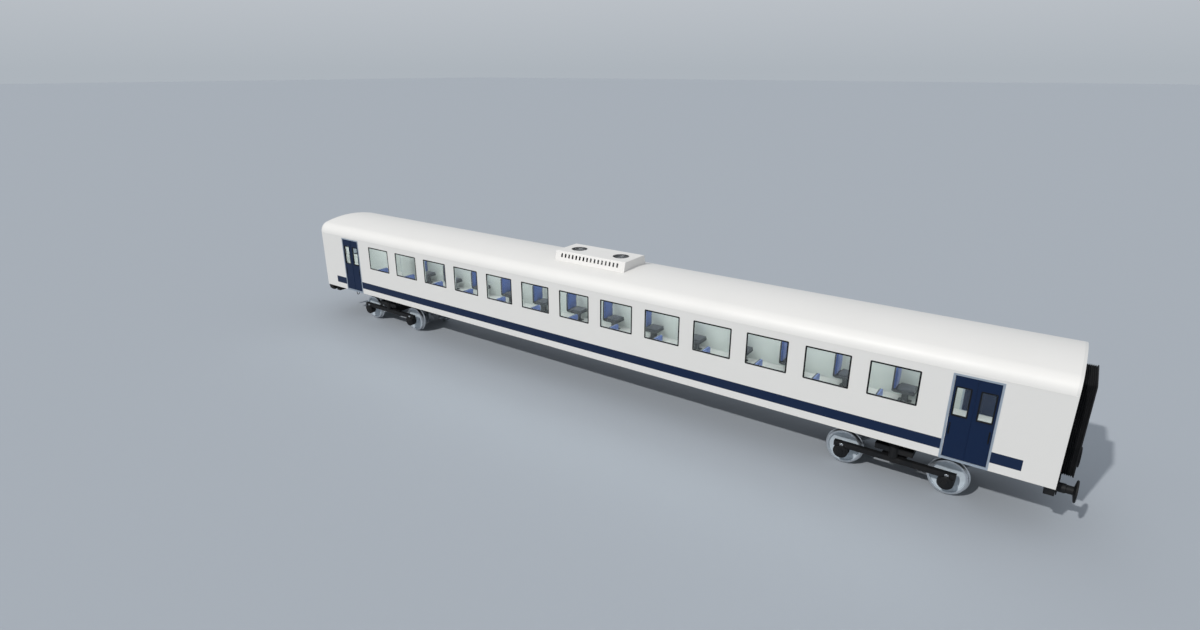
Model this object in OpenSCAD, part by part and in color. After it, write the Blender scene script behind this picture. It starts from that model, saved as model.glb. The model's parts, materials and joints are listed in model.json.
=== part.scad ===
// Passenger coach on two four-wheel bogies.
// X runs along the coach, Y across it and Z up. The origin is on the floor under its centre.
// "Front" is the +X end, "right" is the -Y side. All sizes are in millimetres.

/* [Body] */
// Length over the end walls
body_len = 26100; // [24000:10:28000]
// Width over the side walls
body_w = 2825; // [2600:5:3000]
// Height of the lower edge of the side walls above the axles
body_above_axle = 798; // [760:1:900]
// Height of the side walls
side_h = 2231; // [2200:1:2400]
// Height of the roof's crown above the side walls
roof_rise = 523; // [500:1:700]
// Radius of the roof's shoulder
roof_shoulder_r = 388; // [250:1:450]
// Thickness of the side walls, end walls and roof
wall_t = 60; // [40:1:90]
// Thickness of the floor
floor_t = 59; // [40:1:80]

/* [Windows] */
// Number of windows on a side
window_count = 13; // [7:2:13]
// Distance from window to window
window_pitch = 1583; // [1400:1:1600]
// Width of a window
window_w = 1136; // [800:1:1300]
// Height of a window
window_h = 874; // [600:1:950]
// Height of the window's lower edge above the lower edge of the side wall
window_sill_rise = 1132; // [1000:1:1250]
// Thickness of the window glass
glass_t = 10; // [6:1:20]
// Depth of the glass behind the outside face
glass_inset = 8; // [2:1:30]

/* [Entrance doors] */
// Distance from the middle of the doorway to the end of the body
door_end_distance = 1825; // [1500:1:2200]
// Width over the door frame
door_frame_outer_w = 1030; // [900:1:1100]
// Height of the door frame
door_frame_h = 2158; // [2110:1:2180]
// Width of the frame's posts and head
door_frame_w = 45; // [30:1:60]
// How far the frame stands proud of the wall
door_frame_proud = 5; // [2:1:10]
// Thickness of a door leaf
leaf_t = 40; // [30:1:45]
// Depth of the leaf's face behind the outside of the wall
leaf_recess = 8; // [5:1:12]
// Running gap around the leaves
leaf_gap = 5; // [5:1:10]
// Gap between the two leaves
leaf_seam = 6; // [5:1:10]
// How far the fold hinge stands out from the leaves' outside face
fold_hinge_out = 3; // [2:0.5:5]
// Width of a leaf between its window and the jamb
leaf_stile_w = 45; // [35:1:80]
// Height of the window in a leaf
leaf_window_h = 730; // [500:1:900]
// Height of the lower edge of the leaf's window above the lower edge of the side wall
leaf_window_sill_rise = 1120; // [950:1:1150]
// Radius of the hinge barrels at the jamb
jamb_barrel_r = 6; // [5.5:0.5:8]
// Radius of the hinge barrel between the leaves
fold_barrel_r = 5; // [4.5:0.5:6]
// Distance from the seam to the leaf's window
leaf_window_from_seam = 93; // [60:1:100]
// Thickness of the glass in a leaf
leaf_glass_t = 8; // [4:1:20]

/* [Gangways and end doors] */
// Width of the passage through the end wall
passage_w = 800; // [600:1:850]
// Height of the passage
passage_h = 2000; // [1850:1:2020]
// How far the end door laps over the wall on each side
end_door_lap = 30; // [20:1:50]
// Thickness of the end door
end_door_t = 40; // [30:1:60]
// Width of the window in the end door
end_window_w = 440; // [300:1:500]
// Height of the window in the end door
end_window_h = 800; // [500:1:900]
// Width over the gangway bellows
bellows_w = 1440; // [1300:1:1500]
// Height of the bellows above the body's lower edge
bellows_h = 2250; // [2200:1:2300]
// Length of the bellows
bellows_len = 290; // [200:1:350]
// Thickness of the bellows' wall across its folds
bellows_wall = 100; // [80:1:140]
// Depth of a fold
fold_depth = 28; // [15:1:40]
// Number of folds
fold_count = 6; // [3:1:8]

/* [Bogies] */
// Distance of the bogie's centre from the coach's centre
bogie_x = 9680; // [8600:1:9800]
// Distance from axle to axle
wheelbase = 2500; // [2300:1:2600]
// Radius of the wheel at its tread
tread_r = 460; // [420:1:500]
// Height of the flange over the tread
flange_h = 30; // [26:1:36]
// Distance between the backs of the two wheels
wheel_back_w = 1360; // [1340:1:1600]
// Width of a wheel rim
rim_w = 135; // [125:1:150]
// Radius of the axle between the wheels
axle_r = 82; // [70:1:95]
// Radius of the axle's journal in the axlebox
journal_r = 65; // [50:1:70]
// Distance from journal centre to journal centre
journal_span = 2000; // [1950:1:2250]
// Radius of a brake disc
disc_r = 305; // [250:1:330]
// Distance of a brake disc from the middle of the axle
disc_y = 300; // [200:1:400]
// Radius of an axlebox
axlebox_r = 190; // [150:1:210]
// Width of an axlebox
axlebox_w = 190; // [150:1:200]
// Width of the bogie's side bar
side_bar_w = 120; // [90:1:140]
// Height of the side bar
side_bar_h = 140; // [110:1:160]
// Length of the side bar past the axle
side_bar_overhang = 200; // [195:1:300]
// Length of the bolster along the coach
bolster_len = 900; // [600:1:1000]
// Height of the bolster
bolster_h = 150; // [120:1:180]
// Radius of the air spring on each end of the bolster
spring_r = 112; // [80:1:140]
// Radius of the king pin
king_pin_r = 60; // [40:1:80]

/* [Ends] */
// Distance of a buffer from the coach's centre line
buffer_y = 875; // [850:1:900]
// Distance of the buffers' axes and the hook below the lower edge of the side walls
buffer_drop = 188; // [170:1:210]
// Radius of the buffer head
buffer_head_r = 255; // [200:1:260]
// Length of a buffer
buffer_len = 410; // [350:1:620]
// Radius of the buffer's sleeve
buffer_sleeve_r = 95; // [70:1:120]
// Depth of the headstock
headstock_h = 198; // [150:1:230]
// Thickness of the headstock along the coach
headstock_t = 200; // [150:1:250]

/* [Seats] */
// Distance of a seat from the side wall
seat_wall_gap = 92.5; // [60:0.5:120]
// Width of a seat
seat_w = 520; // [420:1:560]
// Depth of the seat pan
seat_depth = 500; // [400:1:560]
// Height of the top of the seat cushion above the floor covering
seat_h = 460; // [400:1:500]
// Height of the top of the backrest above the floor covering
seat_back_h = 1040; // [900:1:1200]
// Distance of the backrest behind the middle of its window
seat_back_x = 330; // [200:1:400]

/* [Roof unit] */
// Length of the roof unit
unit_len = 2670; // [2200:1:3200]
// Width of the roof unit at its top
unit_top_w = 1110; // [900:1:1300]
// Width of the roof unit at its foot
unit_foot_w = 1270; // [1000:1:1400]
// Height of its top above the crown of the roof
unit_h = 258; // [220:1:300]
// Radius of a fan's well
fan_well_r = 260; // [200:1:300]
// Distance of a fan from the middle of the unit
fan_x = 810; // [500:1:950]
// Number of air slots on a side
slot_count = 16; // [8:1:20]
// Number of blades on a fan
blade_count = 7; // [3:1:9]

/* [Hidden] */
$fn = 64;
ends = ["front", "rear"];

// Body
axle_h = tread_r + flange_h;
half_len = body_len / 2;
half_w = body_w / 2;
inner_x = half_len - wall_t;
inner_y = half_w - wall_t;
body_bottom_h = axle_h + body_above_axle;
floor_top_h = body_bottom_h + floor_t;
side_top_h = body_bottom_h + side_h;
roof_top_h = side_top_h + roof_rise;
window_sill_h = body_bottom_h + window_sill_rise;
shoulder_y = half_w - roof_shoulder_r;
// Radius of the crown that runs smoothly into the two shoulders
crown_r = (pow(shoulder_y, 2) + pow(roof_rise, 2) - pow(roof_shoulder_r, 2))
    / (2 * (roof_rise - roof_shoulder_r));
crown_h = roof_top_h - crown_r;
beyond = 50; // how far a cutting shape runs past what it cuts

// Doorways
door_x = half_len - door_end_distance;
door_frame_top_h = body_bottom_h + door_frame_h;
door_clear_w = door_frame_outer_w - 2 * door_frame_w;
door_clear_top_h = door_frame_top_h - door_frame_w;
leaf_bottom_h = floor_top_h + leaf_gap;
leaf_top_h = door_clear_top_h - leaf_gap;
// The free edge first swings out by the square of the hinge offset over the leaf's length
hinge_offset = leaf_t + fold_hinge_out;
free_edge_gap = leaf_gap + pow(hinge_offset, 2) / (door_clear_w / 2 - 2 * leaf_gap);
leaf_reach = (door_clear_w - leaf_gap - free_edge_gap) / 2;
seam_x = leaf_gap + leaf_reach;
leaf_len = leaf_reach - leaf_seam / 2;
leaf_face_y = half_w - leaf_recess;
leaf_window_w = leaf_reach - leaf_window_from_seam - leaf_stile_w;
leaf_window_sill_h = body_bottom_h + leaf_window_sill_rise;
barrel_gap = 1;

// Partitions between the saloon and the vestibules
partition_t = 45;
partition_door_gap = 280;
partition_x = door_x - door_frame_outer_w / 2 - partition_door_gap;
partition_gap = 2;
saloon_passage_w = 700;

// Ends
passage_top_h = floor_top_h + passage_h;
end_door_gap = 5;
end_door_w = passage_w + 2 * end_door_lap;
end_door_x = inner_x - end_door_gap;
end_window_sill_h = body_bottom_h + 1012;
end_glass_t = 8;
bellows_bottom_h = body_bottom_h + 12;
bellows_rib_t = bellows_len / (2.4 * fold_count);
fold_depth_below = 10;
headstock_bottom_h = body_bottom_h - headstock_h;
buffer_h = body_bottom_h - buffer_drop;
buffer_pad_w = 360;
buffer_pad_depth = 160;
buffer_plate_r = 150;
buffer_plate_t = 30;
buffer_collar_r = buffer_sleeve_r + 15;
buffer_collar_len = 190;
buffer_chamfer = 10;
buffer_head_taper = 20;
buffer_rim_t = 35;
hook_t = 60;
hook_plate_w = 180;
hook_plate_t = 35;
hook_shank_w = 90;
hook_len = 210;
hook_r = 95;
hook_throat_r = 42;
hook_throat_shift = [5, 10];

// Underframe
sole_bar_y = half_w - 262.5;
sole_bar_w = 100;
sole_bar_h = 105;
centre_sill_w = 300;
centre_sill_h = 240;
bearer_h = 148;
bearer_t = 60;
bearer_count = 9;
bearer_pitch = window_pitch;
lift_pad_x = 7700;
lift_pad_len = 300;
lift_pad_h = 15;
pin_foot_gap = 20;
battery_inner_y = centre_sill_w / 2 + 10;
battery_box_w = 480;
battery_box_h = 280;
tank_r = 130;
tank_y = 420;

// Bogies
side_bar_bottom_h = axle_h + 100;
side_bar_top_h = side_bar_bottom_h + side_bar_h;
bolster_bottom_h = side_bar_top_h + 120;
bolster_top_h = bolster_bottom_h + bolster_h;
bolster_w = journal_span + 100;
spring_gap = 5;
spring_top_h = body_bottom_h - sole_bar_h - spring_gap;
transom_len = 560;
pin_boss_r = 2.5 * king_pin_r;
pin_gap = 1;
bearing_gap = 1;
journal_end_gap = 5;
axle_half = journal_span / 2 + 70;
disc_half_t = 45;
wheel_seat_r = axle_r + 13;
wheel_seat_start = wheel_back_w / 2 - 20;
wheel_seat_end = wheel_back_w / 2 + rim_w + 25;
hub_wall = 45;
hub_fillet = 15;
hub_past_rim = 20;
rim_depth = 60;

// Seats
seat_y = inner_y - seat_wall_gap - seat_w / 2;
pan_t = 60;
pan_mid_x = seat_depth / 2 - 10;
cushion_t = 90;
cushion_margin = 10;
shell_t = 35;
shell_drop = 20;
back_cushion_t = 80;
pedestal_len = 160;
pedestal_w = 220;
foot_len = 340;
foot_t = 20;
rack_w = 330;
rack_t = 25;
rack_lip_h = 40;
rack_drop = 150;

// Roof unit
unit_top_h = roof_top_h + unit_h;
unit_edge_r = 40;
unit_knee_drop = 60;
slot_pitch = 143;
slot_w = 62;
slot_h = 120;
slot_top_drop = 70;
slot_depth = 60;
slot_shift = -12;
fan_well_depth = 128;
fan_gap = 14;
fan_r = fan_well_r - fan_gap;
fan_hub_r = 75;
fan_hub_h = 60;
fan_lift = 5;
shaft_hole_depth = 10;
blade_root = 10;
blade_chord = 105;
blade_t = 8;
blade_pitch = 28;
motor_r = 60;
motor_h = 26;
shaft_r = 14;

// A box from its lowest corner to its highest corner
module block(low, high) {
    translate(low)
        cube(high - low);
}

// The same shape again on the other side of the coach
module both_sides() {
    children();
    mirror([0, 1, 0])
        children();
}

// The same shape again at the other end of the coach
module both_ends() {
    children();
    mirror([1, 0, 0])
        children();
}

// A shape drawn for the front, placed at the named end
module at_end(end_name) {
    mirror([end_name == "rear" ? 1 : 0, 0, 0])
        children();
}

// A section across the coach, drawn as [y, z], run along X between two places
module run_along_x(from_x, to_x) {
    translate([from_x, 0, 0])
        rotate([90, 0, 90])
            linear_extrude(height = to_x - from_x)
                children();
}

// The body's section from its lower edge to the roof, a given distance inside the outer skin
module body_section(inset, bottom_h) {
    side_y = half_w - inset;
    low_h = min(bottom_h, side_top_h - 1);
    difference() {
        union() {
            translate([-side_y, low_h])
                square([2 * side_y, side_top_h - low_h]);
            for (side = [-1, 1])
                translate([side * shoulder_y, side_top_h])
                    circle(r = roof_shoulder_r - inset);
            intersection() {
                translate([0, crown_h])
                    circle(r = crown_r - inset, $fn = 256);
                polygon([
                    [0, crown_h],
                    [-2 * shoulder_y, crown_h + 2 * (side_top_h - crown_h)],
                    [2 * shoulder_y, crown_h + 2 * (side_top_h - crown_h)],
                ]);
            }
        }
        translate([-body_w, min(crown_h, bottom_h) - beyond])
            square([2 * body_w, bottom_h - min(crown_h, bottom_h) + beyond]);
    }
}

// Body shell

// The doorways part the wall into a long panel with the windows and a short panel at each corner
module side_wall() {
    difference() {
        block([-inner_x, -half_w, body_bottom_h], [inner_x, -inner_y, door_frame_top_h]);
        window_openings();
        both_ends()
            block([door_x - door_frame_outer_w / 2, -half_w - beyond, body_bottom_h - beyond],
                  [door_x + door_frame_outer_w / 2, -inner_y + beyond, door_frame_top_h]);
    }
}

module window_openings() {
    for (i = [0 : window_count - 1]) {
        x = (i - (window_count - 1) / 2) * window_pitch;
        block([x - window_w / 2, -half_w - beyond, window_sill_h],
              [x + window_w / 2, -inner_y + beyond, window_sill_h + window_h]);
    }
}

module right_side_wall() {
    color("gainsboro")
        side_wall();
}

module left_side_wall() {
    color("gainsboro")
        mirror([0, 1, 0])
            side_wall();
}

// The rails over the windows and doorways, which carry the roof
module cantrails() {
    color("gainsboro")
        both_sides()
            block([-inner_x, -half_w, door_frame_top_h], [inner_x, -inner_y, side_top_h]);
}

module window_glass() {
    color("lightcyan", 0.4)
        both_sides()
            intersection() {
                window_openings();
                block([-inner_x, -half_w + glass_inset, body_bottom_h],
                      [inner_x, -half_w + glass_inset + glass_t, side_top_h]);
            }
}

module roof() {
    color("whitesmoke")
        run_along_x(-inner_x, inner_x)
            difference() {
                body_section(0, side_top_h);
                body_section(wall_t, side_top_h - beyond);
            }
}

module end_walls() {
    color("gainsboro")
        both_ends()
            difference() {
                run_along_x(inner_x, half_len)
                    body_section(0, body_bottom_h);
                block([inner_x - beyond, -passage_w / 2, floor_top_h],
                      [half_len + beyond, passage_w / 2, passage_top_h]);
            }
}

module floor_deck() {
    color("silver")
        block([-inner_x, -inner_y, body_bottom_h], [inner_x, inner_y, floor_top_h]);
}

module partitions() {
    color("lightgray")
        both_ends()
            difference() {
                run_along_x(partition_x - partition_t, partition_x)
                    body_section(wall_t + partition_gap, floor_top_h);
                block([partition_x - partition_t - beyond, -saloon_passage_w / 2, floor_top_h - beyond],
                      [partition_x + beyond, saloon_passage_w / 2, passage_top_h]);
            }
}

// Underframe

module underframe() {
    color("dimgray") {
        underframe_beams();
        body_bolsters();
        headstocks();
    }
}

module underframe_beams() {
    both_sides()
        block([-half_len + headstock_t, -sole_bar_y - sole_bar_w / 2, body_bottom_h - sole_bar_h],
              [half_len - headstock_t, -sole_bar_y + sole_bar_w / 2, body_bottom_h]);
    block([-half_len + headstock_t, -centre_sill_w / 2, body_bottom_h - centre_sill_h],
          [half_len - headstock_t, centre_sill_w / 2, body_bottom_h]);
    for (i = [0 : bearer_count - 1]) {
        x = (i - (bearer_count - 1) / 2) * bearer_pitch;
        block([x - bearer_t / 2, -sole_bar_y, body_bottom_h - bearer_h],
              [x + bearer_t / 2, sole_bar_y, body_bottom_h]);
    }
    both_ends()
        both_sides()
            block([lift_pad_x - lift_pad_len / 2, -sole_bar_y - sole_bar_w / 2,
                   body_bottom_h - sole_bar_h - lift_pad_h],
                  [lift_pad_x + lift_pad_len / 2, -sole_bar_y + sole_bar_w / 2, body_bottom_h]);
}

module body_bolsters() {
    both_ends() {
        block([bogie_x - bolster_len / 2, -sole_bar_y, body_bottom_h - sole_bar_h],
              [bogie_x + bolster_len / 2, sole_bar_y, body_bottom_h]);
        translate([bogie_x, 0, bolster_bottom_h + pin_foot_gap])
            cylinder(r = king_pin_r, h = body_bottom_h - bolster_bottom_h - pin_foot_gap);
    }
}

module headstocks() {
    both_ends() {
        block([half_len - headstock_t, -inner_y, headstock_bottom_h],
              [half_len, inner_y, body_bottom_h]);
        both_sides()
            block([half_len - headstock_t, -buffer_y - buffer_pad_w / 2,
                   headstock_bottom_h - buffer_pad_depth],
                  [half_len, -buffer_y + buffer_pad_w / 2, headstock_bottom_h]);
        block([half_len - headstock_t, -buffer_pad_w / 2, headstock_bottom_h - buffer_pad_depth],
              [half_len, buffer_pad_w / 2, headstock_bottom_h]);
    }
}

module battery_boxes() {
    color("black")
        both_sides()
            block([-2 * bearer_pitch, -battery_inner_y - battery_box_w,
                   body_bottom_h - bearer_h - battery_box_h],
                  [-bearer_pitch + bearer_t / 2, -battery_inner_y, body_bottom_h - bearer_h]);
}

module air_tanks() {
    color("black")
        both_sides()
            translate([bearer_pitch - bearer_t / 2, -tank_y, body_bottom_h - bearer_h - tank_r])
                rotate([0, 90, 0])
                    cylinder(r = tank_r, h = bearer_pitch + bearer_t);
}

module buffers() {
    color("black")
        both_ends()
            both_sides()
                translate([half_len, -buffer_y, buffer_h])
                    rotate([0, 90, 0])
                        rotate_extrude()
                            buffer_section();
}

// Half of a buffer's section, as [radius, distance from the headstock]
module buffer_section() {
    polygon([
        // the foot plate and the collar
        [0, 0], [buffer_plate_r, 0], [buffer_plate_r, buffer_plate_t],
        [buffer_collar_r, buffer_plate_t + buffer_chamfer], [buffer_collar_r, buffer_collar_len],
        // the sleeve
        [buffer_sleeve_r, buffer_collar_len + buffer_chamfer],
        [buffer_sleeve_r, buffer_len - buffer_rim_t - 2 * buffer_head_taper],
        // the head
        [buffer_head_r - buffer_head_taper, buffer_len - buffer_rim_t - buffer_chamfer],
        [buffer_head_r, buffer_len - buffer_rim_t], [buffer_head_r, buffer_len - buffer_chamfer],
        [buffer_head_r - buffer_chamfer, buffer_len], [0, buffer_len],
    ]);
}

module draw_hooks() {
    color("black")
        both_ends()
            translate([half_len, -hook_t / 2, buffer_h])
                rotate([90, 0, 0])
                    mirror([0, 0, 1])
                        linear_extrude(height = hook_t)
                            hook_outline();
}

// The hook from its side, as [distance from the headstock, height]: plate, shank and a throat open at the top
module hook_outline() {
    translate([0, -hook_plate_w / 2])
        square([hook_plate_t, hook_plate_w]);
    translate([0, -hook_shank_w / 2])
        square([hook_len - hook_throat_r, hook_shank_w]);
    difference() {
        translate([hook_len, 0])
            circle(r = hook_r);
        translate([hook_len + hook_throat_shift[0], hook_throat_shift[1]]) {
            circle(r = hook_throat_r);
            translate([-hook_throat_r, 0])
                square([2 * hook_throat_r, 2 * hook_r]);
        }
    }
}

module gangway_bellows() {
    color("black")
        both_ends()
            difference() {
                union() {
                    bellows_ring(half_len, half_len + bellows_len, fold_depth);
                    for (i = [0 : fold_count]) {
                        x = half_len + i * (bellows_len - bellows_rib_t) / fold_count;
                        bellows_ring(x, x + bellows_rib_t, 0);
                    }
                }
                block([half_len - beyond, -bellows_w / 2 + bellows_wall, floor_top_h],
                      [half_len + bellows_len + beyond, bellows_w / 2 - bellows_wall,
                       bellows_bottom_h + bellows_h - bellows_wall]);
            }
}

module bellows_ring(from_x, to_x, inset) {
    block([from_x, -bellows_w / 2 + inset, bellows_bottom_h + min(inset, fold_depth_below)],
          [to_x, bellows_w / 2 - inset, bellows_bottom_h + bellows_h - inset]);
}

// End doors slide along Y behind the end wall

module end_door() {
    difference() {
        block([end_door_x - end_door_t, -end_door_w / 2, leaf_bottom_h],
              [end_door_x, end_door_w / 2, passage_top_h + end_door_lap]);
        end_door_window();
    }
}

module end_door_window() {
    block([end_door_x - end_door_t - beyond, -end_window_w / 2, end_window_sill_h],
          [end_door_x + beyond, end_window_w / 2, end_window_sill_h + end_window_h]);
}

module end_door_glass() {
    intersection() {
        end_door_window();
        block([end_door_x - (end_door_t + end_glass_t) / 2, -half_w, body_bottom_h],
              [end_door_x - (end_door_t - end_glass_t) / 2, half_w, side_top_h]);
    }
}

// Entrance doors: two leaves that fold inwards. The first hangs on the outboard jamb.

module door_frames() {
    color("lightsteelblue")
        both_ends()
            both_sides() {
                difference() {
                    block([door_x - door_frame_outer_w / 2, -half_w - door_frame_proud, body_bottom_h],
                          [door_x + door_frame_outer_w / 2, -inner_y, door_frame_top_h]);
                    block([door_x - door_clear_w / 2, -half_w - beyond, floor_top_h],
                          [door_x + door_clear_w / 2, -inner_y + beyond, door_clear_top_h]);
                }
                in_doorway("front", "right")
                    barrel(leaf_gap, leaf_t, jamb_barrel_r, floor_top_h, door_clear_top_h);
            }
}

// Places a shape drawn in a doorway's own frame: X from the hinge jamb, Y inwards from the leaf's face
module in_doorway(end_name, side_name) {
    at_end(end_name)
        mirror([0, side_name == "left" ? 1 : 0, 0])
            translate([door_x + door_clear_w / 2, -leaf_face_y, 0])
                mirror([1, 0, 0])
                    children();
}

// A hinge barrel, or the groove for one, standing at a place in the doorway's own frame
module barrel(x, y, r, from_h, to_h) {
    translate([x, y, from_h])
        cylinder(r = r, h = to_h - from_h);
}

module lead_leaf_blank() {
    difference() {
        block([leaf_gap, 0, leaf_bottom_h], [leaf_gap + leaf_len, leaf_t, leaf_top_h]);
        barrel(leaf_gap, leaf_t, jamb_barrel_r + barrel_gap, leaf_bottom_h - beyond, leaf_top_h + beyond);
    }
    barrel(seam_x, -fold_hinge_out, fold_barrel_r, leaf_bottom_h, leaf_top_h);
}

module fold_leaf_blank() {
    difference() {
        block([seam_x + leaf_seam / 2, 0, leaf_bottom_h],
              [seam_x + leaf_reach, leaf_t, leaf_top_h]);
        barrel(seam_x, -fold_hinge_out, fold_barrel_r + barrel_gap, leaf_bottom_h - beyond,
               leaf_top_h + beyond);
    }
}

// The window of the lead leaf (side = -1) or of the fold leaf (side = 1), between two depths
module leaf_window(side, from_y, to_y) {
    near_x = seam_x + side * leaf_window_from_seam;
    far_x = near_x + side * leaf_window_w;
    block([min(near_x, far_x), from_y, leaf_window_sill_h],
          [max(near_x, far_x), to_y, leaf_window_sill_h + leaf_window_h]);
}

module door_lead(end_name, side_name) {
    color("midnightblue")
        in_doorway(end_name, side_name)
            difference() {
                lead_leaf_blank();
                leaf_window(-1, -beyond, leaf_t + beyond);
            }
}

module door_fold(end_name, side_name) {
    color("midnightblue")
        in_doorway(end_name, side_name)
            difference() {
                fold_leaf_blank();
                leaf_window(1, -beyond, leaf_t + beyond);
            }
}

module door_glass(end_name, side_name, side) {
    color("lightcyan", 0.4)
        in_doorway(end_name, side_name)
            leaf_window(side, (leaf_t - leaf_glass_t) / 2, (leaf_t + leaf_glass_t) / 2);
}

// Roof unit

module roof_unit() {
    color("white")
        difference() {
            run_along_x(-unit_len / 2, unit_len / 2)
                unit_section();
            run_along_x(-unit_len, unit_len)
                body_section(0, body_bottom_h);
            both_sides()
                for (i = [0 : slot_count - 1])
                    unit_slot((i - (slot_count - 1) / 2) * slot_pitch + slot_shift);
            for (side = [-1, 1])
                fan_well(side * fan_x);
        }
}

module unit_section() {
    top_y = unit_top_w / 2;
    polygon([
        [-unit_foot_w / 2, side_top_h + roof_rise / 2], [unit_foot_w / 2, side_top_h + roof_rise / 2],
        [unit_foot_w / 2, roof_top_h - unit_knee_drop], [top_y, unit_top_h - unit_edge_r],
        [top_y - unit_edge_r, unit_top_h], [-top_y + unit_edge_r, unit_top_h],
        [-top_y, unit_top_h - unit_edge_r], [-unit_foot_w / 2, roof_top_h - unit_knee_drop],
    ]);
    for (side = [-1, 1])
        translate([side * (top_y - unit_edge_r), unit_top_h - unit_edge_r])
            circle(r = unit_edge_r);
}

module unit_slot(x) {
    block([x - slot_w / 2, -unit_foot_w, unit_top_h - slot_top_drop - slot_h],
          [x + slot_w / 2, -unit_top_w / 2 + slot_depth, unit_top_h - slot_top_drop]);
}

// A well for one fan, with the motor standing in its middle and a hole for the fan's shaft
module fan_well(x) {
    translate([x, 0, unit_top_h - fan_well_depth])
        difference() {
            cylinder(r = fan_well_r, h = fan_well_depth + beyond);
            cylinder(r = motor_r, h = motor_h);
        }
    translate([x, 0, unit_top_h - fan_well_depth - shaft_hole_depth])
        cylinder(r = shaft_r + bearing_gap, h = motor_h + 2 * shaft_hole_depth);
}

module fan(x) {
    color("dimgray")
        translate([x, 0, unit_top_h - fan_well_depth + motor_h + fan_lift]) {
            cylinder(r = fan_hub_r, h = fan_hub_h);
            translate([0, 0, -motor_h])
                cylinder(r = shaft_r, h = motor_h + fan_hub_h / 2);
            for (i = [0 : blade_count - 1])
                rotate([0, 0, i * 360 / blade_count])
                    translate([0, 0, fan_hub_h / 2])
                        rotate([blade_pitch, 0, 0])
                            block([fan_hub_r - blade_root, -blade_chord / 2, -blade_t / 2],
                                  [sqrt(pow(fan_r, 2) - pow(blade_chord / 2, 2)), blade_chord / 2,
                                   blade_t / 2]);
        }
}

// Bogies, drawn for the front one

module bogie_frame() {
    color("black") {
        both_sides()
            block([bogie_x - wheelbase / 2 - side_bar_overhang,
                   -journal_span / 2 - side_bar_w / 2, side_bar_bottom_h],
                  [bogie_x + wheelbase / 2 + side_bar_overhang,
                   -journal_span / 2 + side_bar_w / 2, side_bar_top_h]);
        block([bogie_x - transom_len / 2, -journal_span / 2, side_bar_bottom_h],
              [bogie_x + transom_len / 2, journal_span / 2, side_bar_top_h]);
        difference() {
            union() {
                block([bogie_x - bolster_len / 2, -bolster_w / 2, bolster_bottom_h],
                      [bogie_x + bolster_len / 2, bolster_w / 2, bolster_top_h]);
                translate([bogie_x, 0, side_bar_top_h])
                    cylinder(r = pin_boss_r, h = bolster_bottom_h - side_bar_top_h);
            }
            translate([bogie_x, 0, bolster_bottom_h])
                cylinder(r = king_pin_r + pin_gap, h = bolster_h + beyond);
        }
        both_sides()
            translate([bogie_x, -journal_span / 2, side_bar_top_h])
                cylinder(r = spring_r, h = spring_top_h - side_bar_top_h);
    }
}

module axleboxes() {
    color("black")
        for (side = [-1, 1])
            both_sides()
                translate([bogie_x + side * wheelbase / 2, 0, axle_h])
                    difference() {
                        round_bar(axlebox_r, -(journal_span + axlebox_w) / 2,
                                  -(journal_span - axlebox_w) / 2);
                        block([-wheelbase, -journal_span, side_bar_bottom_h - axle_h],
                              [wheelbase, 0, side_bar_top_h]);
                        round_bar(journal_r + bearing_gap, -axle_half - journal_end_gap, 0);
                    }
}

// A round bar about the Y axis between two places
module round_bar(r, from_y, to_y) {
    translate([0, from_y, 0])
        rotate([-90, 0, 0])
            cylinder(r = r, h = to_y - from_y);
}

// The axle: journals at its ends, seats for the wheels and two brake discs
module axle(x) {
    color("slategray")
        translate([x, 0, axle_h]) {
            round_bar(journal_r, -axle_half, axle_half);
            round_bar(axle_r, -wheel_seat_start, wheel_seat_start);
            both_sides() {
                round_bar(wheel_seat_r, -wheel_seat_end, -wheel_seat_start);
                round_bar(disc_r, -disc_y - disc_half_t, -disc_y + disc_half_t);
            }
        }
}

module wheels(x) {
    color("lightslategray")
        both_sides()
            translate([x, 0, axle_h])
                rotate([-90, 0, 0])
                    rotate_extrude()
                        wheel_section();
}

// Half of the wheel's section, as [radius, place along Y], from the hub's bore round by the flange
module wheel_section() {
    back = wheel_back_w / 2;
    front = back + rim_w;
    hub_r = wheel_seat_r + hub_wall;
    polygon([
        // the hub's inner end and the inner face of the web, which leans outwards to the rim
        [wheel_seat_r, back - 15], [hub_r, back - 15], [hub_r + hub_fillet, back + 25],
        [tread_r - rim_depth - 15, back + 55],
        // the back of the rim and the flange
        [tread_r - rim_depth, back + 2], [tread_r + 2, back],
        [tread_r + flange_h - 8, back + 4], [tread_r + flange_h, back + 14],
        [tread_r + flange_h - 8, back + 25], [tread_r + 6, back + 34],
        // the tread, slightly coned, and the outer face of the rim
        [tread_r, back + 70], [tread_r - 4, front - 8], [tread_r - 10, front],
        [tread_r - rim_depth, front],
        // the outer face of the web and the hub's outer end
        [tread_r - rim_depth - 15, back + 85], [hub_r + hub_fillet, back + 60],
        [hub_r, front + hub_past_rim], [wheel_seat_r, front + hub_past_rim],
    ]);
}

// Seats, one at each window on both sides, all facing the front

module each_seat() {
    for (i = [0 : window_count - 1])
        translate([(i - (window_count - 1) / 2) * window_pitch - seat_back_x, 0, floor_top_h])
            both_sides()
                translate([0, -seat_y, 0])
                    children();
}

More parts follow.
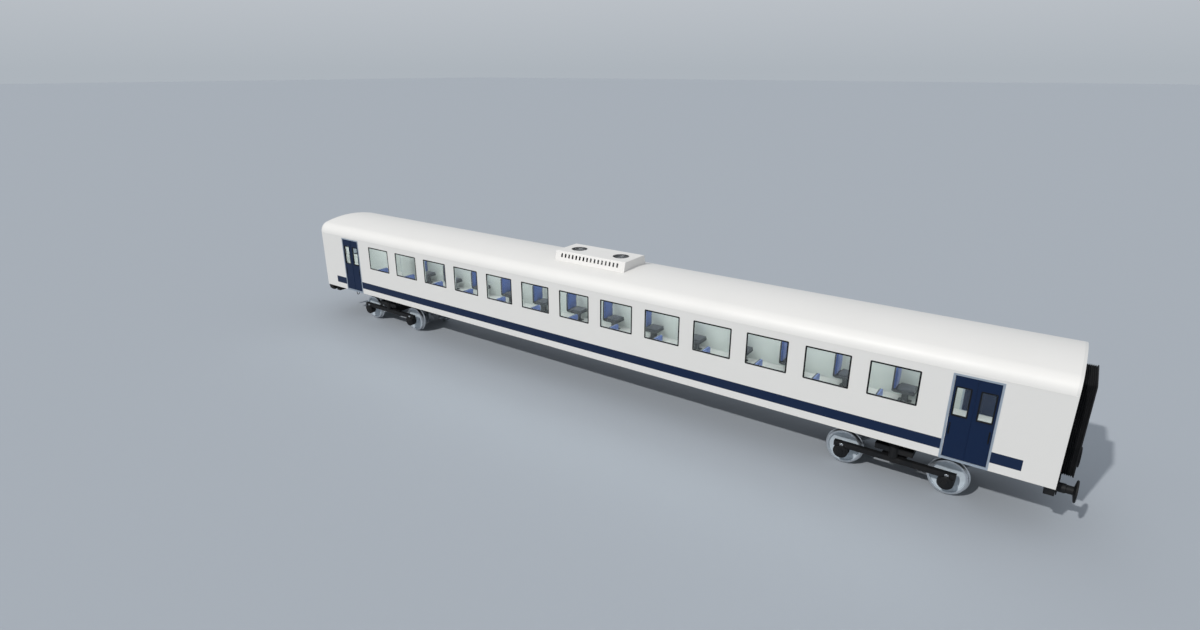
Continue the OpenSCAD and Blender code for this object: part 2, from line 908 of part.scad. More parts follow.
// A foot plate, a pedestal, the pan and the shell behind the backrest
module seat_frames() {
    color("dimgray")
        each_seat() {
            block([pan_mid_x - foot_len / 2, -pedestal_w / 2, 0],
                  [pan_mid_x + foot_len / 2, pedestal_w / 2, foot_t]);
            block([pan_mid_x - pedestal_len / 2, -pedestal_w / 2, 0],
                  [pan_mid_x + pedestal_len / 2, pedestal_w / 2, seat_h - cushion_t - pan_t]);
            block([-back_cushion_t / 2 - shell_t, -seat_w / 2, seat_h - cushion_t - pan_t],
                  [seat_depth, seat_w / 2, seat_h - cushion_t]);
            block([-back_cushion_t / 2 - shell_t, -seat_w / 2, seat_h - cushion_t],
                  [-back_cushion_t / 2, seat_w / 2, seat_back_h - shell_drop]);
        }
}

module seat_cushions() {
    color("darkslategray")
        each_seat()
            block([back_cushion_t / 2, -seat_w / 2 + cushion_margin, seat_h - cushion_t],
                  [seat_depth + cushion_margin, seat_w / 2 - cushion_margin, seat_h]);
}

module back_cushions() {
    color("royalblue")
        each_seat()
            block([-back_cushion_t / 2, -seat_w / 2 + cushion_margin, seat_h - cushion_t],
                  [back_cushion_t / 2, seat_w / 2 - cushion_margin, seat_back_h]);
}

module luggage_racks() {
    color("silver")
        both_sides() {
            block([-partition_x + partition_t, -inner_y, side_top_h - rack_drop],
                  [partition_x - partition_t, -inner_y + rack_w, side_top_h - rack_drop + rack_t]);
            block([-partition_x + partition_t, -inner_y + rack_w - rack_t, side_top_h - rack_drop],
                  [partition_x - partition_t, -inner_y + rack_w,
                   side_top_h - rack_drop + rack_t + rack_lip_h]);
        }
}

underframe();
floor_deck();  // floor
right_side_wall();
left_side_wall();
cantrails();
roof();
end_walls();
partitions();
window_glass();
door_frames();
gangway_bellows();
buffers();
draw_hooks();
battery_boxes();
air_tanks();
roof_unit();
seat_frames();
seat_cushions();
back_cushions();
luggage_racks();
fan(fan_x);  // front_fan
fan(-fan_x);  // rear_fan
for (end_name = ends) {
    outer_x = (end_name == "front" ? 1 : -1) * (bogie_x + wheelbase / 2);
    inner_axle_x = (end_name == "front" ? 1 : -1) * (bogie_x - wheelbase / 2);
    color("silver") at_end(end_name) end_door();
    color("lightcyan", 0.4) at_end(end_name) end_door_glass();
    at_end(end_name) bogie_frame();
    at_end(end_name) axleboxes();
    axle(outer_x);
    axle(inner_axle_x);
    wheels(outer_x);
    wheels(inner_axle_x);
    for (side_name = ["right", "left"]) {
        doorway = str(end_name, "_", side_name);
        door_lead(end_name, side_name);
        door_fold(end_name, side_name);
        door_glass(end_name, side_name, -1);
        door_glass(end_name, side_name, 1);
    }
}
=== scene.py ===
# %% [markdown]
# # A passenger coach
# The coach's plates, doors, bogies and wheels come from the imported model, and they stay where the design
# puts them. This script gives each of them its finish, and adds what the design leaves out: window frames,
# door seals and handles, folded bellows, upholstery, fan guards, bolts, springs and coupling links.
# Everything is in metres: X runs to the front end, Y to the left side and Z up.

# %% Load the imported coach
import json
import math

import bmesh
import bpy
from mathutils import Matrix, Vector


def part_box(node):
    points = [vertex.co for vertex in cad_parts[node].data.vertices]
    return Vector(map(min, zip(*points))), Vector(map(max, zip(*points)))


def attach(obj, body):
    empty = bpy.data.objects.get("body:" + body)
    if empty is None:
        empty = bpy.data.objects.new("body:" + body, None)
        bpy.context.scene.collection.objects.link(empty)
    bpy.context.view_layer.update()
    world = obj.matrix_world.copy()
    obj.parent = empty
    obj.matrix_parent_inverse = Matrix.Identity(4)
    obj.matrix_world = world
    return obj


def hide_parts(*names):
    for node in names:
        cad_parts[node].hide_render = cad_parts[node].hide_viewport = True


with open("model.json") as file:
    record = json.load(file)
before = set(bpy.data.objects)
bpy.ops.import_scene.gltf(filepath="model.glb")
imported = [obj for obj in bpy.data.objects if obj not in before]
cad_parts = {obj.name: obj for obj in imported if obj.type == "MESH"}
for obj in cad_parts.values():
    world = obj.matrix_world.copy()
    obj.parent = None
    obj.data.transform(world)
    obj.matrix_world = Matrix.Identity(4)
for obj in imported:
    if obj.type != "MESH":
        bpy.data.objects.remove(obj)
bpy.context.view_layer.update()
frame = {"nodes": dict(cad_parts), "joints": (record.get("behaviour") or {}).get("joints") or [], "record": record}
cad = frame["nodes"]
scene = bpy.context.scene

# %% [markdown]
# ## Places
# Most places in this script are read from the design. A joint says where an axle or a hinge is, and a
# node's mesh says where its solids are. A few are typed, such as the heights of the navy band and the roof
# unit's slots, and those have to be changed here if the design changes. Several alike things, such as all
# the panes, share one node, so the solids of a node are told apart by walking along their edges.

# %% Places from the design
joint_at = {j["name"]: Vector(j["pos_m"]) for j in frame["joints"] if "pos_m" in j}


def solids(node):
    """The lowest and highest corner of each separate solid in a node, from the rear to the front."""
    mesh = bmesh.new()
    mesh.from_mesh(cad[node].data)
    bmesh.ops.remove_doubles(mesh, verts=mesh.verts, dist=1e-5)
    waiting, boxes = set(mesh.verts), []
    while waiting:
        reached = [waiting.pop()]
        for vert in reached:
            for edge in vert.link_edges:
                other = edge.other_vert(vert)
                if other in waiting:
                    waiting.remove(other)
                    reached.append(other)
        corners = list(zip(*(vert.co for vert in reached)))
        boxes.append((Vector(map(min, corners)), Vector(map(max, corners))))
    mesh.free()
    return sorted(boxes, key=lambda box: tuple(round(c, 3) for c in box[0]))


def middle(box):
    return (box[0] + box[1]) / 2


panes = solids("window_glass")
right_panes = [box for box in panes if box[0].y < 0]
wall_low, wall_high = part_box("right_side_wall")
half_width = -wall_low.y
inner_y = -wall_high.y
side_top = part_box("cantrails")[1].z
floor_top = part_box("floor")[1].z
roof_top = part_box("roof")[1].z
body_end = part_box("end_walls")[1].x
axle_h = joint_at["front_outer_wheel_spin"].z
bogie_x = joint_at["front_bogie_swivel"].x
half_wheelbase = joint_at["front_outer_wheel_spin"].x - bogie_x
SIDES = (("right", -1), ("left", 1))
ENDS = (("front", 1), ("rear", -1))
print(len(panes), "panes; body", round(2 * body_end, 3), "m long; axles", round(axle_h, 3), "m high")

# %% [markdown]
# ## Camera and studio
# The camera stands well above the platform's level, near the front end, and looks back along the coach with
# a fairly wide lens. One sun lamp with slightly soft edges plays the studio's key light. A pale world, a
# little lighter upwards, fills the shadows, so that the frames below stay dark but legible.

# %% Camera
CAMERA_AT = Vector((12.336, -17.395, 9.84))
CAMERA_TURN = math.radians(35.334)
CAMERA_PITCH = math.radians(19.779)
LENS_MM = 20.55

camera = bpy.data.objects.new("camera", bpy.data.cameras.new("camera"))
scene.collection.objects.link(camera)
camera.location = CAMERA_AT
camera.rotation_euler = (math.radians(90) - CAMERA_PITCH, 0, CAMERA_TURN)
camera.data.sensor_width = 36
camera.data.lens = LENS_MM
camera.data.clip_end = 2000
scene.camera = camera
print("camera", tuple(CAMERA_AT), "lens", LENS_MM, "mm")

# %% Studio: floor, world and key light
KEY_TRAVELS = Vector((0.28, 1.14, -1.0))
KEY_STRENGTH = 2.2
WORLD_STRENGTH = 0.59
KEY_SOFTNESS = 1.5
FLOOR_HALF = 600
FLOOR_COLOUR = (0.395, 0.425, 0.462)
BACKDROP_LOW = (0.715, 0.782, 0.852, 1)
BACKDROP_HIGH = (0.88, 0.933, 1.0, 1)
BACKDROP_RISE = 0.12

scene.view_settings.view_transform = "Standard"
scene.world = bpy.data.worlds.new("pale studio")
scene.world.use_nodes = True
scene.world.node_tree.nodes["Background"].inputs["Strength"].default_value = WORLD_STRENGTH

key = bpy.data.objects.new("key_light", bpy.data.lights.new("key_light", "SUN"))
scene.collection.objects.link(key)
key.rotation_euler = KEY_TRAVELS.to_track_quat("-Z", "Y").to_euler()
key.data.energy = KEY_STRENGTH
key.data.angle = math.radians(KEY_SOFTNESS)
key.data.color = (1.0, 0.985, 0.96)
print("key light travels along", tuple(KEY_TRAVELS))

# %% [markdown]
# ## Building blocks for finishes
# Most surfaces here need the same few effects: a slow stain in the colour and the gloss, a fine grain in the
# relief, and for cloth a weave. Stain and grain share one node group with named inputs, the weave has one of
# its own, and every finish places a group with its own values. The shader itself stays in the material,
# where its constant settings are plain to see.

# %% Node helpers


def add(tree, kind, inputs=(), **settings):
    """A node with its settings, whose inputs are values or other nodes' sockets."""
    made = tree.nodes.new(kind)
    for key, value in settings.items():
        setattr(made, key, value)
    for key, value in dict(inputs).items():
        if isinstance(value, bpy.types.NodeSocket):
            tree.links.new(value, made.inputs[key])
        else:
            made.inputs[key].default_value = value
    return made


def calc(tree, operation, *values):
    return add(tree, "ShaderNodeMath", enumerate(values), operation=operation).outputs[0]


def from_centre(tree, a, b):
    """The distance from an axis, out of the two distances across it."""
    squares = [calc(tree, "MULTIPLY", side, side) for side in (a, b)]
    return calc(tree, "SQRT", calc(tree, "ADD", *squares))


def mix_colour(tree, factor, a, b):
    inputs = {0: factor, 6: a, 7: b}
    return add(tree, "ShaderNodeMix", inputs, data_type="RGBA").outputs[2]


def group(name, inputs, outputs):
    """An empty shader group with its sockets, and its input and output nodes."""
    tree = bpy.data.node_groups.new(name, "ShaderNodeTree")
    for label, value in inputs.items():
        kind = "NodeSocketColor" if isinstance(value, tuple) else "NodeSocketFloat"
        tree.interface.new_socket(label, in_out="INPUT", socket_type=kind).default_value = value
    for label in outputs:
        kind = "NodeSocketColor" if label == "Colour" else "NodeSocketFloat"
        tree.interface.new_socket(label, in_out="OUTPUT", socket_type=kind)
    return tree, tree.nodes.new("NodeGroupInput").outputs, tree.nodes.new("NodeGroupOutput").inputs


# %% Backdrop: from the floor's tone at the horizon to a paler one above it
sky = scene.world.node_tree
upwards = add(sky, "ShaderNodeSeparateXYZ", {0: add(sky, "ShaderNodeTexCoord").outputs["Generated"]})
height = add(sky, "ShaderNodeMapRange", {"Value": upwards.outputs["Z"], "From Max": BACKDROP_RISE})
backdrop = mix_colour(sky, height.outputs[0], BACKDROP_LOW, BACKDROP_HIGH)
sky.links.new(backdrop, sky.nodes["Background"].inputs["Color"])
print("backdrop from", BACKDROP_LOW[:3], "to", BACKDROP_HIGH[:3])

# %% Surface group: stain, grain and roughness
surface_tree, given, result = group(
    "Surface",
    {"Colour": (0.8, 0.8, 0.8, 1), "Stain": (0.5, 0.5, 0.5, 1), "Stain amount": 0.1, "Stain size": 1.0,
     "Grain size": 0.002, "Rough low": 0.3, "Rough high": 0.5},
    ["Colour", "Roughness", "Height"])
place = add(surface_tree, "ShaderNodeTexCoord").outputs["Object"]
slow = add(surface_tree, "ShaderNodeTexNoise", {
    "Vector": place, "Scale": calc(surface_tree, "DIVIDE", 1.0, given["Stain size"]), "Detail": 4.0,
    "Roughness": 0.6}).outputs["Fac"]
stain = add(surface_tree, "ShaderNodeMapRange", {"Value": slow, "From Min": 0.42, "From Max": 0.72})
fine = add(surface_tree, "ShaderNodeTexNoise", {
    "Vector": place, "Scale": calc(surface_tree, "DIVIDE", 1.0, given["Grain size"]), "Detail": 2.0})
spread = add(surface_tree, "ShaderNodeMapRange", {
    "Value": slow, "From Min": 0.3, "From Max": 0.7, "To Min": given["Rough low"],
    "To Max": given["Rough high"]})
amount = calc(surface_tree, "MULTIPLY", stain.outputs[0], given["Stain amount"])
for label, socket in {"Colour": mix_colour(surface_tree, amount, given["Colour"], given["Stain"]),
                      "Roughness": spread.outputs[0], "Height": fine.outputs["Fac"]}.items():
    surface_tree.links.new(socket, result[label])
print("group", surface_tree.name, "has", len(surface_tree.nodes), "nodes")

# %% Weave group: two crossing threads
weave_tree, given, result = group(
    "Weave", {"Colour": (0.1, 0.1, 0.1, 1), "Thread": (0.2, 0.2, 0.2, 1), "Thread size": 0.004},
    ["Colour", "Roughness", "Height"])
place = add(weave_tree, "ShaderNodeTexCoord").outputs["Object"]
split = add(weave_tree, "ShaderNodeSeparateXYZ", {0: place}).outputs
turns = calc(weave_tree, "DIVIDE", 2 * math.pi, given["Thread size"])
warp = calc(weave_tree, "SINE", calc(weave_tree, "MULTIPLY", split["Y"], turns))
weft = calc(weave_tree, "SINE", calc(
    weave_tree, "MULTIPLY", calc(weave_tree, "ADD", split["X"], split["Z"]), turns))
crossing = calc(weave_tree, "MULTIPLY_ADD", calc(weave_tree, "MULTIPLY", warp, weft), 0.5, 0.5)
fleck = add(weave_tree, "ShaderNodeTexNoise", {
    "Vector": place, "Scale": calc(weave_tree, "DIVIDE", 0.3, given["Thread size"]), "Detail": 3.0})
thread = calc(weave_tree, "MULTIPLY", crossing, fleck.outputs["Fac"])
rough = add(weave_tree, "ShaderNodeMapRange", {"Value": thread, "To Min": 0.95, "To Max": 0.75})
for label, socket in {"Colour": mix_colour(weave_tree, thread, given["Colour"], given["Thread"]),
                      "Roughness": rough.outputs[0], "Height": crossing}.items():
    weave_tree.links.new(socket, result[label])
print("group", weave_tree.name, "has", len(weave_tree.nodes), "nodes")

# %% Between group: 1 where a value lies in a range, with a sharp edge
between_tree, given, result = group("Between", {"Value": 0.0, "Low": 0.0, "High": 1.0}, ["Mask"])
above = calc(between_tree, "GREATER_THAN", given["Value"], given["Low"])
below = calc(between_tree, "LESS_THAN", given["Value"], given["High"])
between_tree.links.new(calc(between_tree, "MULTIPLY", above, below), result["Mask"])
print("group", between_tree.name)


def between(tree, value, low, high):
    inputs = {"Value": value, "Low": low, "High": high}
    return add(tree, "ShaderNodeGroup", node_tree=between_tree, inputs=inputs).outputs[0]


# %% [markdown]
# ## Finishes
# The coach is washed and in service, so its paint is nearly clean: white sides and roof, a navy band low on
# the side, navy doors, and matt black below the floor. The colours of a finish vary by a few hundredths and
# its gloss a little more, which is what keeps a long flat side from looking like plastic.

# %% One function makes a finish


def finish(name, colour, stain=None, amount=0.25, size=1.2, grain=0.004, bump=0.0004, rough=(0.35, 0.5),
           **constants):
    """A material from the Surface group; the constants are the shader's own values."""
    made = bpy.data.materials.new(name)
    made.use_nodes = True
    tree = made.node_tree
    shader = tree.nodes["Principled BSDF"]
    tone = tuple(colour) + (1,)
    dark = tuple(stain or [c * 0.6 for c in colour]) + (1,)
    values = {"Colour": tone, "Stain": dark, "Stain amount": amount, "Stain size": size,
              "Grain size": grain, "Rough low": rough[0], "Rough high": rough[1]}
    film = add(tree, "ShaderNodeGroup", values, node_tree=surface_tree, name="film")
    relief = add(tree, "ShaderNodeBump", {"Height": film.outputs["Height"], "Distance": bump},
                 name="relief")
    tree.links.new(film.outputs["Colour"], shader.inputs["Base Color"])
    tree.links.new(film.outputs["Roughness"], shader.inputs["Roughness"])
    tree.links.new(relief.outputs["Normal"], shader.inputs["Normal"])
    for label, value in constants.items():
        shader.inputs[label.replace("_", " ")].default_value = value
    return made


def object_axes(tree):
    place = add(tree, "ShaderNodeTexCoord").outputs["Object"]
    return add(tree, "ShaderNodeSeparateXYZ", {0: place}).outputs


# The body and the roof are one white paint. The body white is set darker and the roof white lighter: painted shade
# on the sides and painted light on the roof, from how the light falls on them.
SHADED_BODY_WHITE = (0.700, 0.686, 0.660)
LIT_ROOF_WHITE = (0.765, 0.746, 0.716)
NAVY = (0.0022, 0.0125, 0.046)
BLACK = (0.0065, 0.0072, 0.0085)
PANEL_GREY = (0.60, 0.63, 0.61)
SHEET_GREY = (0.66, 0.66, 0.64)
SHEET_FLECK = (0.40, 0.41, 0.42)

body_paint = finish("body_paint", SHADED_BODY_WHITE, amount=0.05, grain=0.0015, bump=0.00003, rough=(0.36, 0.48),
                    Coat_Weight=0.05, Coat_Roughness=0.2, Specular_IOR_Level=0.25)
roof_paint = finish("roof_paint", LIT_ROOF_WHITE, amount=0.08, size=2.5, grain=0.002, bump=0.00004,
                    rough=(0.48, 0.62), Coat_Weight=0.05, Coat_Roughness=0.3)
door_paint = finish("door_paint", NAVY, amount=0.15, size=0.5, grain=0.0015, bump=0.00003,
                    rough=(0.35, 0.48), Coat_Weight=0.05, Coat_Roughness=0.15, Specular_IOR_Level=0.22)
frame_metal = finish("door_frame_metal", (0.40, 0.46, 0.53), amount=0.2, size=0.15, grain=0.0008,
                     bump=0.00005, rough=(0.28, 0.42), Metallic=0.55)
black_paint = finish("frame_black", BLACK, (0.022, 0.019, 0.017), 0.4, 0.25, 0.003, 0.0003, (0.5, 0.7),
                     Specular_IOR_Level=0.25)
rubber = finish("bellows_rubber", BLACK, (0.018, 0.018, 0.019), 0.4, 0.3, 0.0012, 0.0002,
                (0.62, 0.8), Specular_IOR_Level=0.25)
gasket = finish("gasket_rubber", (0.0045, 0.005, 0.006), amount=0.2, size=0.2, grain=0.001, bump=0.0001,
                rough=(0.5, 0.65), Specular_IOR_Level=0.2)
axle_steel = finish("axle_steel", (0.33, 0.36, 0.39), (0.12, 0.11, 0.10), 0.5, 0.12, 0.0015, 0.0002,
                    (0.35, 0.55), Metallic=0.8)
bright_steel = finish("bright_steel", (0.62, 0.64, 0.66), (0.3, 0.3, 0.3), 0.3, 0.03, 0.0008, 0.00005,
                      (0.2, 0.35), Metallic=1.0)
panel = finish("interior_panel", PANEL_GREY, amount=0.08, size=0.8, grain=0.0012, bump=0.0001,
               rough=(0.5, 0.6))
floor_sheet = finish("floor_covering", SHEET_GREY, SHEET_FLECK, 0.25, 0.004, 0.002, 0.0001,
                     (0.45, 0.6))
seat_plastic = finish("seat_grey", (0.040, 0.044, 0.050), amount=0.2, size=0.2, grain=0.0008,
                      bump=0.0001, rough=(0.45, 0.6))
rack_metal = finish("rack_aluminium", (0.62, 0.63, 0.64), amount=0.2, size=0.2, grain=0.0008,
                    bump=0.00005, rough=(0.3, 0.4), Metallic=0.9)
fan_plastic = finish("fan_plastic", (0.09, 0.095, 0.10), amount=0.25, size=0.1, grain=0.001,
                     bump=0.0001, rough=(0.45, 0.6))
lamp_red = finish("lamp_red", (0.35, 0.01, 0.012), amount=0.1, size=0.05, grain=0.002, bump=0.0,
                  rough=(0.12, 0.2), Coat_Weight=0.8)
print(len(bpy.data.materials), "finishes")

# %% [markdown]
# The side wall carries three colours on one plate: white outside, the navy band between two heights, and
# the pale lining inside. Each is chosen by the place on the plate, as masking tape does in a paint shop.

# %% Side walls: navy band outside, lining inside
BAND_LOW, BAND_HIGH = 1.502, 1.771
BAND_END = 12.362
LINING_DEPTH = 0.004
MAX_SIDE = 10.0


def banded_paint():
    made = body_paint.copy()
    made.name = "side_wall_paint"
    tree = made.node_tree
    film = tree.nodes["film"]
    axes = object_axes(tree)
    out = calc(tree, "ABSOLUTE", axes["Y"])
    band = calc(
        tree, "MULTIPLY", between(tree, axes["Z"], BAND_LOW, BAND_HIGH),
        between(tree, calc(tree, "ABSOLUTE", axes["X"]), -1.0, BAND_END))
    outside = between(tree, out, half_width - LINING_DEPTH, MAX_SIDE)
    painted = mix_colour(tree, band, SHADED_BODY_WHITE + (1,), NAVY + (1,))
    lined = mix_colour(tree, outside, PANEL_GREY + (1,), painted)
    tree.links.new(lined, film.inputs["Colour"])
    stained = mix_colour(tree, 0.25, lined, (0.25, 0.24, 0.22, 1))
    tree.links.new(stained, film.inputs["Stain"])
    return made


side_paint = banded_paint()
print("navy band from", BAND_LOW, "to", BAND_HIGH, "m")

# %% [markdown]
# A wheel is painted on its web and hub, but the tread and the flange are rolled bright by the rails. The
# distance from the axle tells one from the other. Four axles share the finish, so the distance is measured
# from whichever axle is nearest.

# %% Wheel finish: grey web, bright running surface
TREAD_INSIDE_R = 0.405
WEB_GREY = (0.50, 0.56, 0.61)


def wheel_finish():
    made = finish("wheel_steel", WEB_GREY, (0.34, 0.37, 0.40), 0.3, 0.12, 0.002, 0.0002, (0.35, 0.5))
    tree = made.node_tree
    film, shader = tree.nodes["film"], tree.nodes["Principled BSDF"]
    axes = object_axes(tree)
    from_bogie = calc(tree, "ABSOLUTE", calc(
        tree, "SUBTRACT", calc(tree, "ABSOLUTE", axes["X"]), bogie_x))
    from_axle = calc(tree, "SUBTRACT", from_bogie, half_wheelbase)
    over_axle = calc(tree, "SUBTRACT", axes["Z"], axle_h)
    radius = from_centre(tree, from_axle, over_axle)
    bright = between(tree, radius, TREAD_INSIDE_R, 1.0)
    colour = mix_colour(tree, bright, WEB_GREY + (1,), (0.70, 0.73, 0.76, 1))
    tree.links.new(colour, film.inputs["Colour"])
    tree.links.new(bright, shader.inputs["Metallic"])
    low = calc(tree, "MULTIPLY_ADD", bright, -0.15, 0.38)
    tree.links.new(low, film.inputs["Rough low"])
    return made


wheel_steel = wheel_finish()
print("bright from", TREAD_INSIDE_R, "m outwards")

# %% [markdown]
# Window glass is a thick tinted pane. A ray from a lamp would be stopped by it, and the saloon would be
# dark, so lamps see it as clear: a Light Path node chooses a plain transparent shader for their rays.

# %% Glass and seat cloth


def glass_finish():
    made = bpy.data.materials.new("glass")
    made.use_nodes = True
    tree = made.node_tree
    shader = tree.nodes["Principled BSDF"]
    shader.inputs["Base Color"].default_value = (0.80, 0.86, 0.86, 1)
    shader.inputs["Roughness"].default_value = 0.03
    shader.inputs["Transmission Weight"].default_value = 1.0
    shader.inputs["IOR"].default_value = 1.45
    clear = add(tree, "ShaderNodeBsdfTransparent", {"Color": (0.85, 0.9, 0.9, 1)})
    ray = add(tree, "ShaderNodeLightPath").outputs["Is Shadow Ray"]
    both = add(tree, "ShaderNodeMixShader", {0: ray, 1: shader.outputs[0], 2: clear.outputs[0]})
    tree.links.new(both.outputs[0], tree.nodes["Material Output"].inputs["Surface"])
    return made


glass = glass_finish()


def cloth_finish(name, colour, thread):
    made = finish(name, colour)
    tree = made.node_tree
    tree.nodes.remove(tree.nodes["film"])
    weave = add(tree, "ShaderNodeGroup", {
        "Colour": colour + (1,), "Thread": thread + (1,), "Thread size": 0.006}, node_tree=weave_tree)
    shader, relief = tree.nodes["Principled BSDF"], tree.nodes["relief"]
    tree.links.new(weave.outputs["Colour"], shader.inputs["Base Color"])
    tree.links.new(weave.outputs["Roughness"], shader.inputs["Roughness"])
    tree.links.new(weave.outputs["Height"], relief.inputs["Height"])
    relief.inputs["Distance"].default_value = 0.0008
    shader.inputs["Sheen Weight"].default_value = 0.35
    return made


dark_cloth = cloth_finish("seat_cloth_dark", (0.030, 0.034, 0.042), (0.070, 0.078, 0.095))
blue_cloth = cloth_finish("seat_cloth_blue", (0.035, 0.075, 0.26), (0.080, 0.150, 0.42))
print("glass and two cloths")

# %% [markdown]
# ## Finishes on the design's own parts
# Each node of the model keeps its shape and takes the finish of its material slot. The slot's name is in the
# model's record, so a part that is added later finds its finish by itself.

# %% Finishes by slot
slot_finish = {
    "body_paint": body_paint, "roof_paint": roof_paint, "door_paint": door_paint,
    "door_frame_metal": frame_metal, "glass": glass, "bellows_rubber": rubber, "frame_black": black_paint,
    "wheel_steel": wheel_steel, "axle_steel": axle_steel, "interior_panel": panel,
    "floor_covering": floor_sheet, "seat_grey": seat_plastic, "seat_cloth_dark": dark_cloth,
    "seat_cloth_blue": blue_cloth, "rack_aluminium": rack_metal, "fan_plastic": fan_plastic,
}
node_slot = {row["node"]: row["material_slot"] for row in frame["record"]["subparts"]}
for name, obj in cad.items():
    obj.data.materials.clear()
    obj.data.materials.append(slot_finish[node_slot[name]])
for name in ("right_side_wall", "left_side_wall"):
    cad[name].data.materials[0] = side_paint
print("finishes on", len(cad), "nodes")

# %% Floor: covering above, black paint below
FLOOR_SKIN = 0.01


def floor_finish():
    made = floor_sheet.copy()
    made.name = "floor_and_underside"
    tree = made.node_tree
    film = tree.nodes["film"]
    under = between(tree, object_axes(tree)["Z"], -1.0, floor_top - FLOOR_SKIN)
    for socket, above in (("Colour", SHEET_GREY), ("Stain", SHEET_FLECK)):
        tree.links.new(mix_colour(tree, under, above + (1,), BLACK + (1,)), film.inputs[socket])
    return made


cad["floor"].data.materials[0] = floor_finish()
print("underside black below z", round(floor_top - FLOOR_SKIN, 3))

# %% Roof unit: white cover, with painted shade inside its slots and wells
unit_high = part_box("roof_unit")[1]
well_r = (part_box("front_fan")[1].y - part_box("front_fan")[0].y) / 2 + 0.015
fan_x = joint_at["front_fan_spin"].x
SLOTS = 16
SLOT_PITCH = 0.143
SLOT_W = 0.062
SLOT_SHIFT = -0.012
SLOT_Z = (4.108, 4.232)


def unit_finish_with_painted_shade():
    made = roof_paint.copy()
    made.name = "roof_unit_paint"
    tree = made.node_tree
    axes = object_axes(tree)
    along = calc(tree, "SUBTRACT", calc(tree, "ABSOLUTE", axes["X"]), fan_x)
    radius = from_centre(tree, along, axes["Y"])
    # Painted shade: the inside of each fan well is painted black, standing for the shade that falls in it.
    well = calc(tree, "MULTIPLY", between(tree, radius, -1.0, well_r + 0.002),
                between(tree, axes["Z"], 0.0, unit_high.z - 0.003))
    # Painted shade: the slots are not cut. Black stripes on the cover stand for the shade inside their openings.
    steps = calc(tree, "DIVIDE", calc(tree, "SUBTRACT", axes["X"], SLOT_SHIFT), SLOT_PITCH)
    from_slot = calc(tree, "ABSOLUTE", calc(tree, "SUBTRACT", calc(tree, "FRACT", steps), 0.5))
    slot_shade_columns = calc(tree, "MULTIPLY", between(tree, from_slot, -1.0, SLOT_W / SLOT_PITCH / 2),
                  between(tree, calc(tree, "ABSOLUTE", steps), -1.0, SLOTS / 2))
    slots = calc(tree, "MULTIPLY", slot_shade_columns, between(tree, axes["Z"], *SLOT_Z))
    dark = calc(tree, "MAXIMUM", well, slots)
    colour = mix_colour(tree, dark, LIT_ROOF_WHITE + (1,), BLACK + (1,))
    tree.links.new(colour, tree.nodes["film"].inputs["Colour"])
    return made


cad["roof_unit"].data.materials[0] = unit_finish_with_painted_shade()
print("wells", round(well_r, 3), "m in radius at x", round(fan_x, 3))

# %% [markdown]
# ## Studio floor
# The floor is one plain, pale, matt sheet, the same all over, so it looks alike from every side. It is wide
# enough that its far edge lies at the horizon, where the backdrop has nearly the floor's own tone.

# %% Studio floor
ground_mesh = bpy.data.meshes.new("studio_floor")
corners = [(u * FLOOR_HALF, v * FLOOR_HALF, 0) for u, v in ((-1, -1), (1, -1), (1, 1), (-1, 1))]
ground_mesh.from_pydata(corners, [], [(0, 1, 2, 3)])
ground = bpy.data.objects.new("studio_floor", ground_mesh)
scene.collection.objects.link(ground)
ground_mesh.materials.append(finish("studio_floor", FLOOR_COLOUR, amount=0.0, bump=0.0, rough=(0.85, 0.9),
                                    Specular_IOR_Level=0.05))
print("floor", 2 * FLOOR_HALF, "m square")

# %% Lamps under the ceiling
SALOON_LAMP_WATTS = 88
VESTIBULE_LAMP_WATTS = 52
LAMP_BELOW_ROOF = 0.22
lamps_at = [(x, 5.0, 1.2, SALOON_LAMP_WATTS) for x in (-7.8, -2.6, 2.6, 7.8)]
lamps_at += [(x, 1.6, 1.6, VESTIBULE_LAMP_WATTS) for x in (-11.6, 11.6)]
for number, (x, length, width, watts) in enumerate(lamps_at):
    lamp = bpy.data.objects.new("saloon_lamp_%d" % number, bpy.data.lights.new("saloon_lamp", "AREA"))
    scene.collection.objects.link(lamp)
    lamp.location = (x, 0, roof_top - LAMP_BELOW_ROOF)
    lamp.data.shape = "RECTANGLE"
    lamp.data.size, lamp.data.size_y = length, width
    lamp.data.energy = watts
    lamp.visible_camera = False
print(len(lamps_at), "lamps under the ceiling")

# %% [markdown]
# ## Mesh helpers
# The added pieces are few kinds of shape: boxes with eased edges, turned shapes, tubes along a path, and
# frames that run a section round a rounded rectangle. Each helper adds one of them to a mesh that is being
# built, and `piece` turns that mesh into a finished object on its body.

# %% Boxes and skins


def box_into(mesh, low, high):
    """A closed box between two corners."""
    low, high = Vector(low), Vector(high)
    for vert in bmesh.ops.create_cube(mesh, size=1)["verts"]:
        share = vert.co + Vector((0.5, 0.5, 0.5))
        vert.co = Vector([a + (b - a) * t for a, b, t in zip(low, high, share)])


def skin_into(mesh, loops, closed=True):
    """Faces between loops of equally many points. An open skin gets a face on each end."""
    rows = [[mesh.verts.new(point) for point in loop] for loop in loops]
    for here, there in zip(rows, rows[1:] + (rows[:1] if closed else [])):
        for i, j in zip(range(len(here)), list(range(1, len(here))) + [0]):
            mesh.faces.new((here[i], here[j], there[j], there[i]))
    if not closed:
        mesh.faces.new(rows[0][::-1])
        mesh.faces.new(rows[-1])


def angles(count):
    return [2 * math.pi * i / count for i in range(count)]


# %% Turned shapes and tubes


def circle(centre, axis, radius, sides):
    axis = Vector(axis).normalized()
    across = axis.orthogonal().normalized()
    up = axis.cross(across)
    return [Vector(centre) + radius * (math.cos(t) * across + math.sin(t) * up) for t in angles(sides)]


def lathe_into(mesh, profile, centre, axis, sides=32):
    """A shape turned on an axis. The profile is (distance along the axis, radius) from end to end."""
    axis = Vector(axis).normalized()
    skin_into(mesh, [circle(Vector(centre) + along * axis, axis, radius, sides)
                     for along, radius in profile], closed=False)


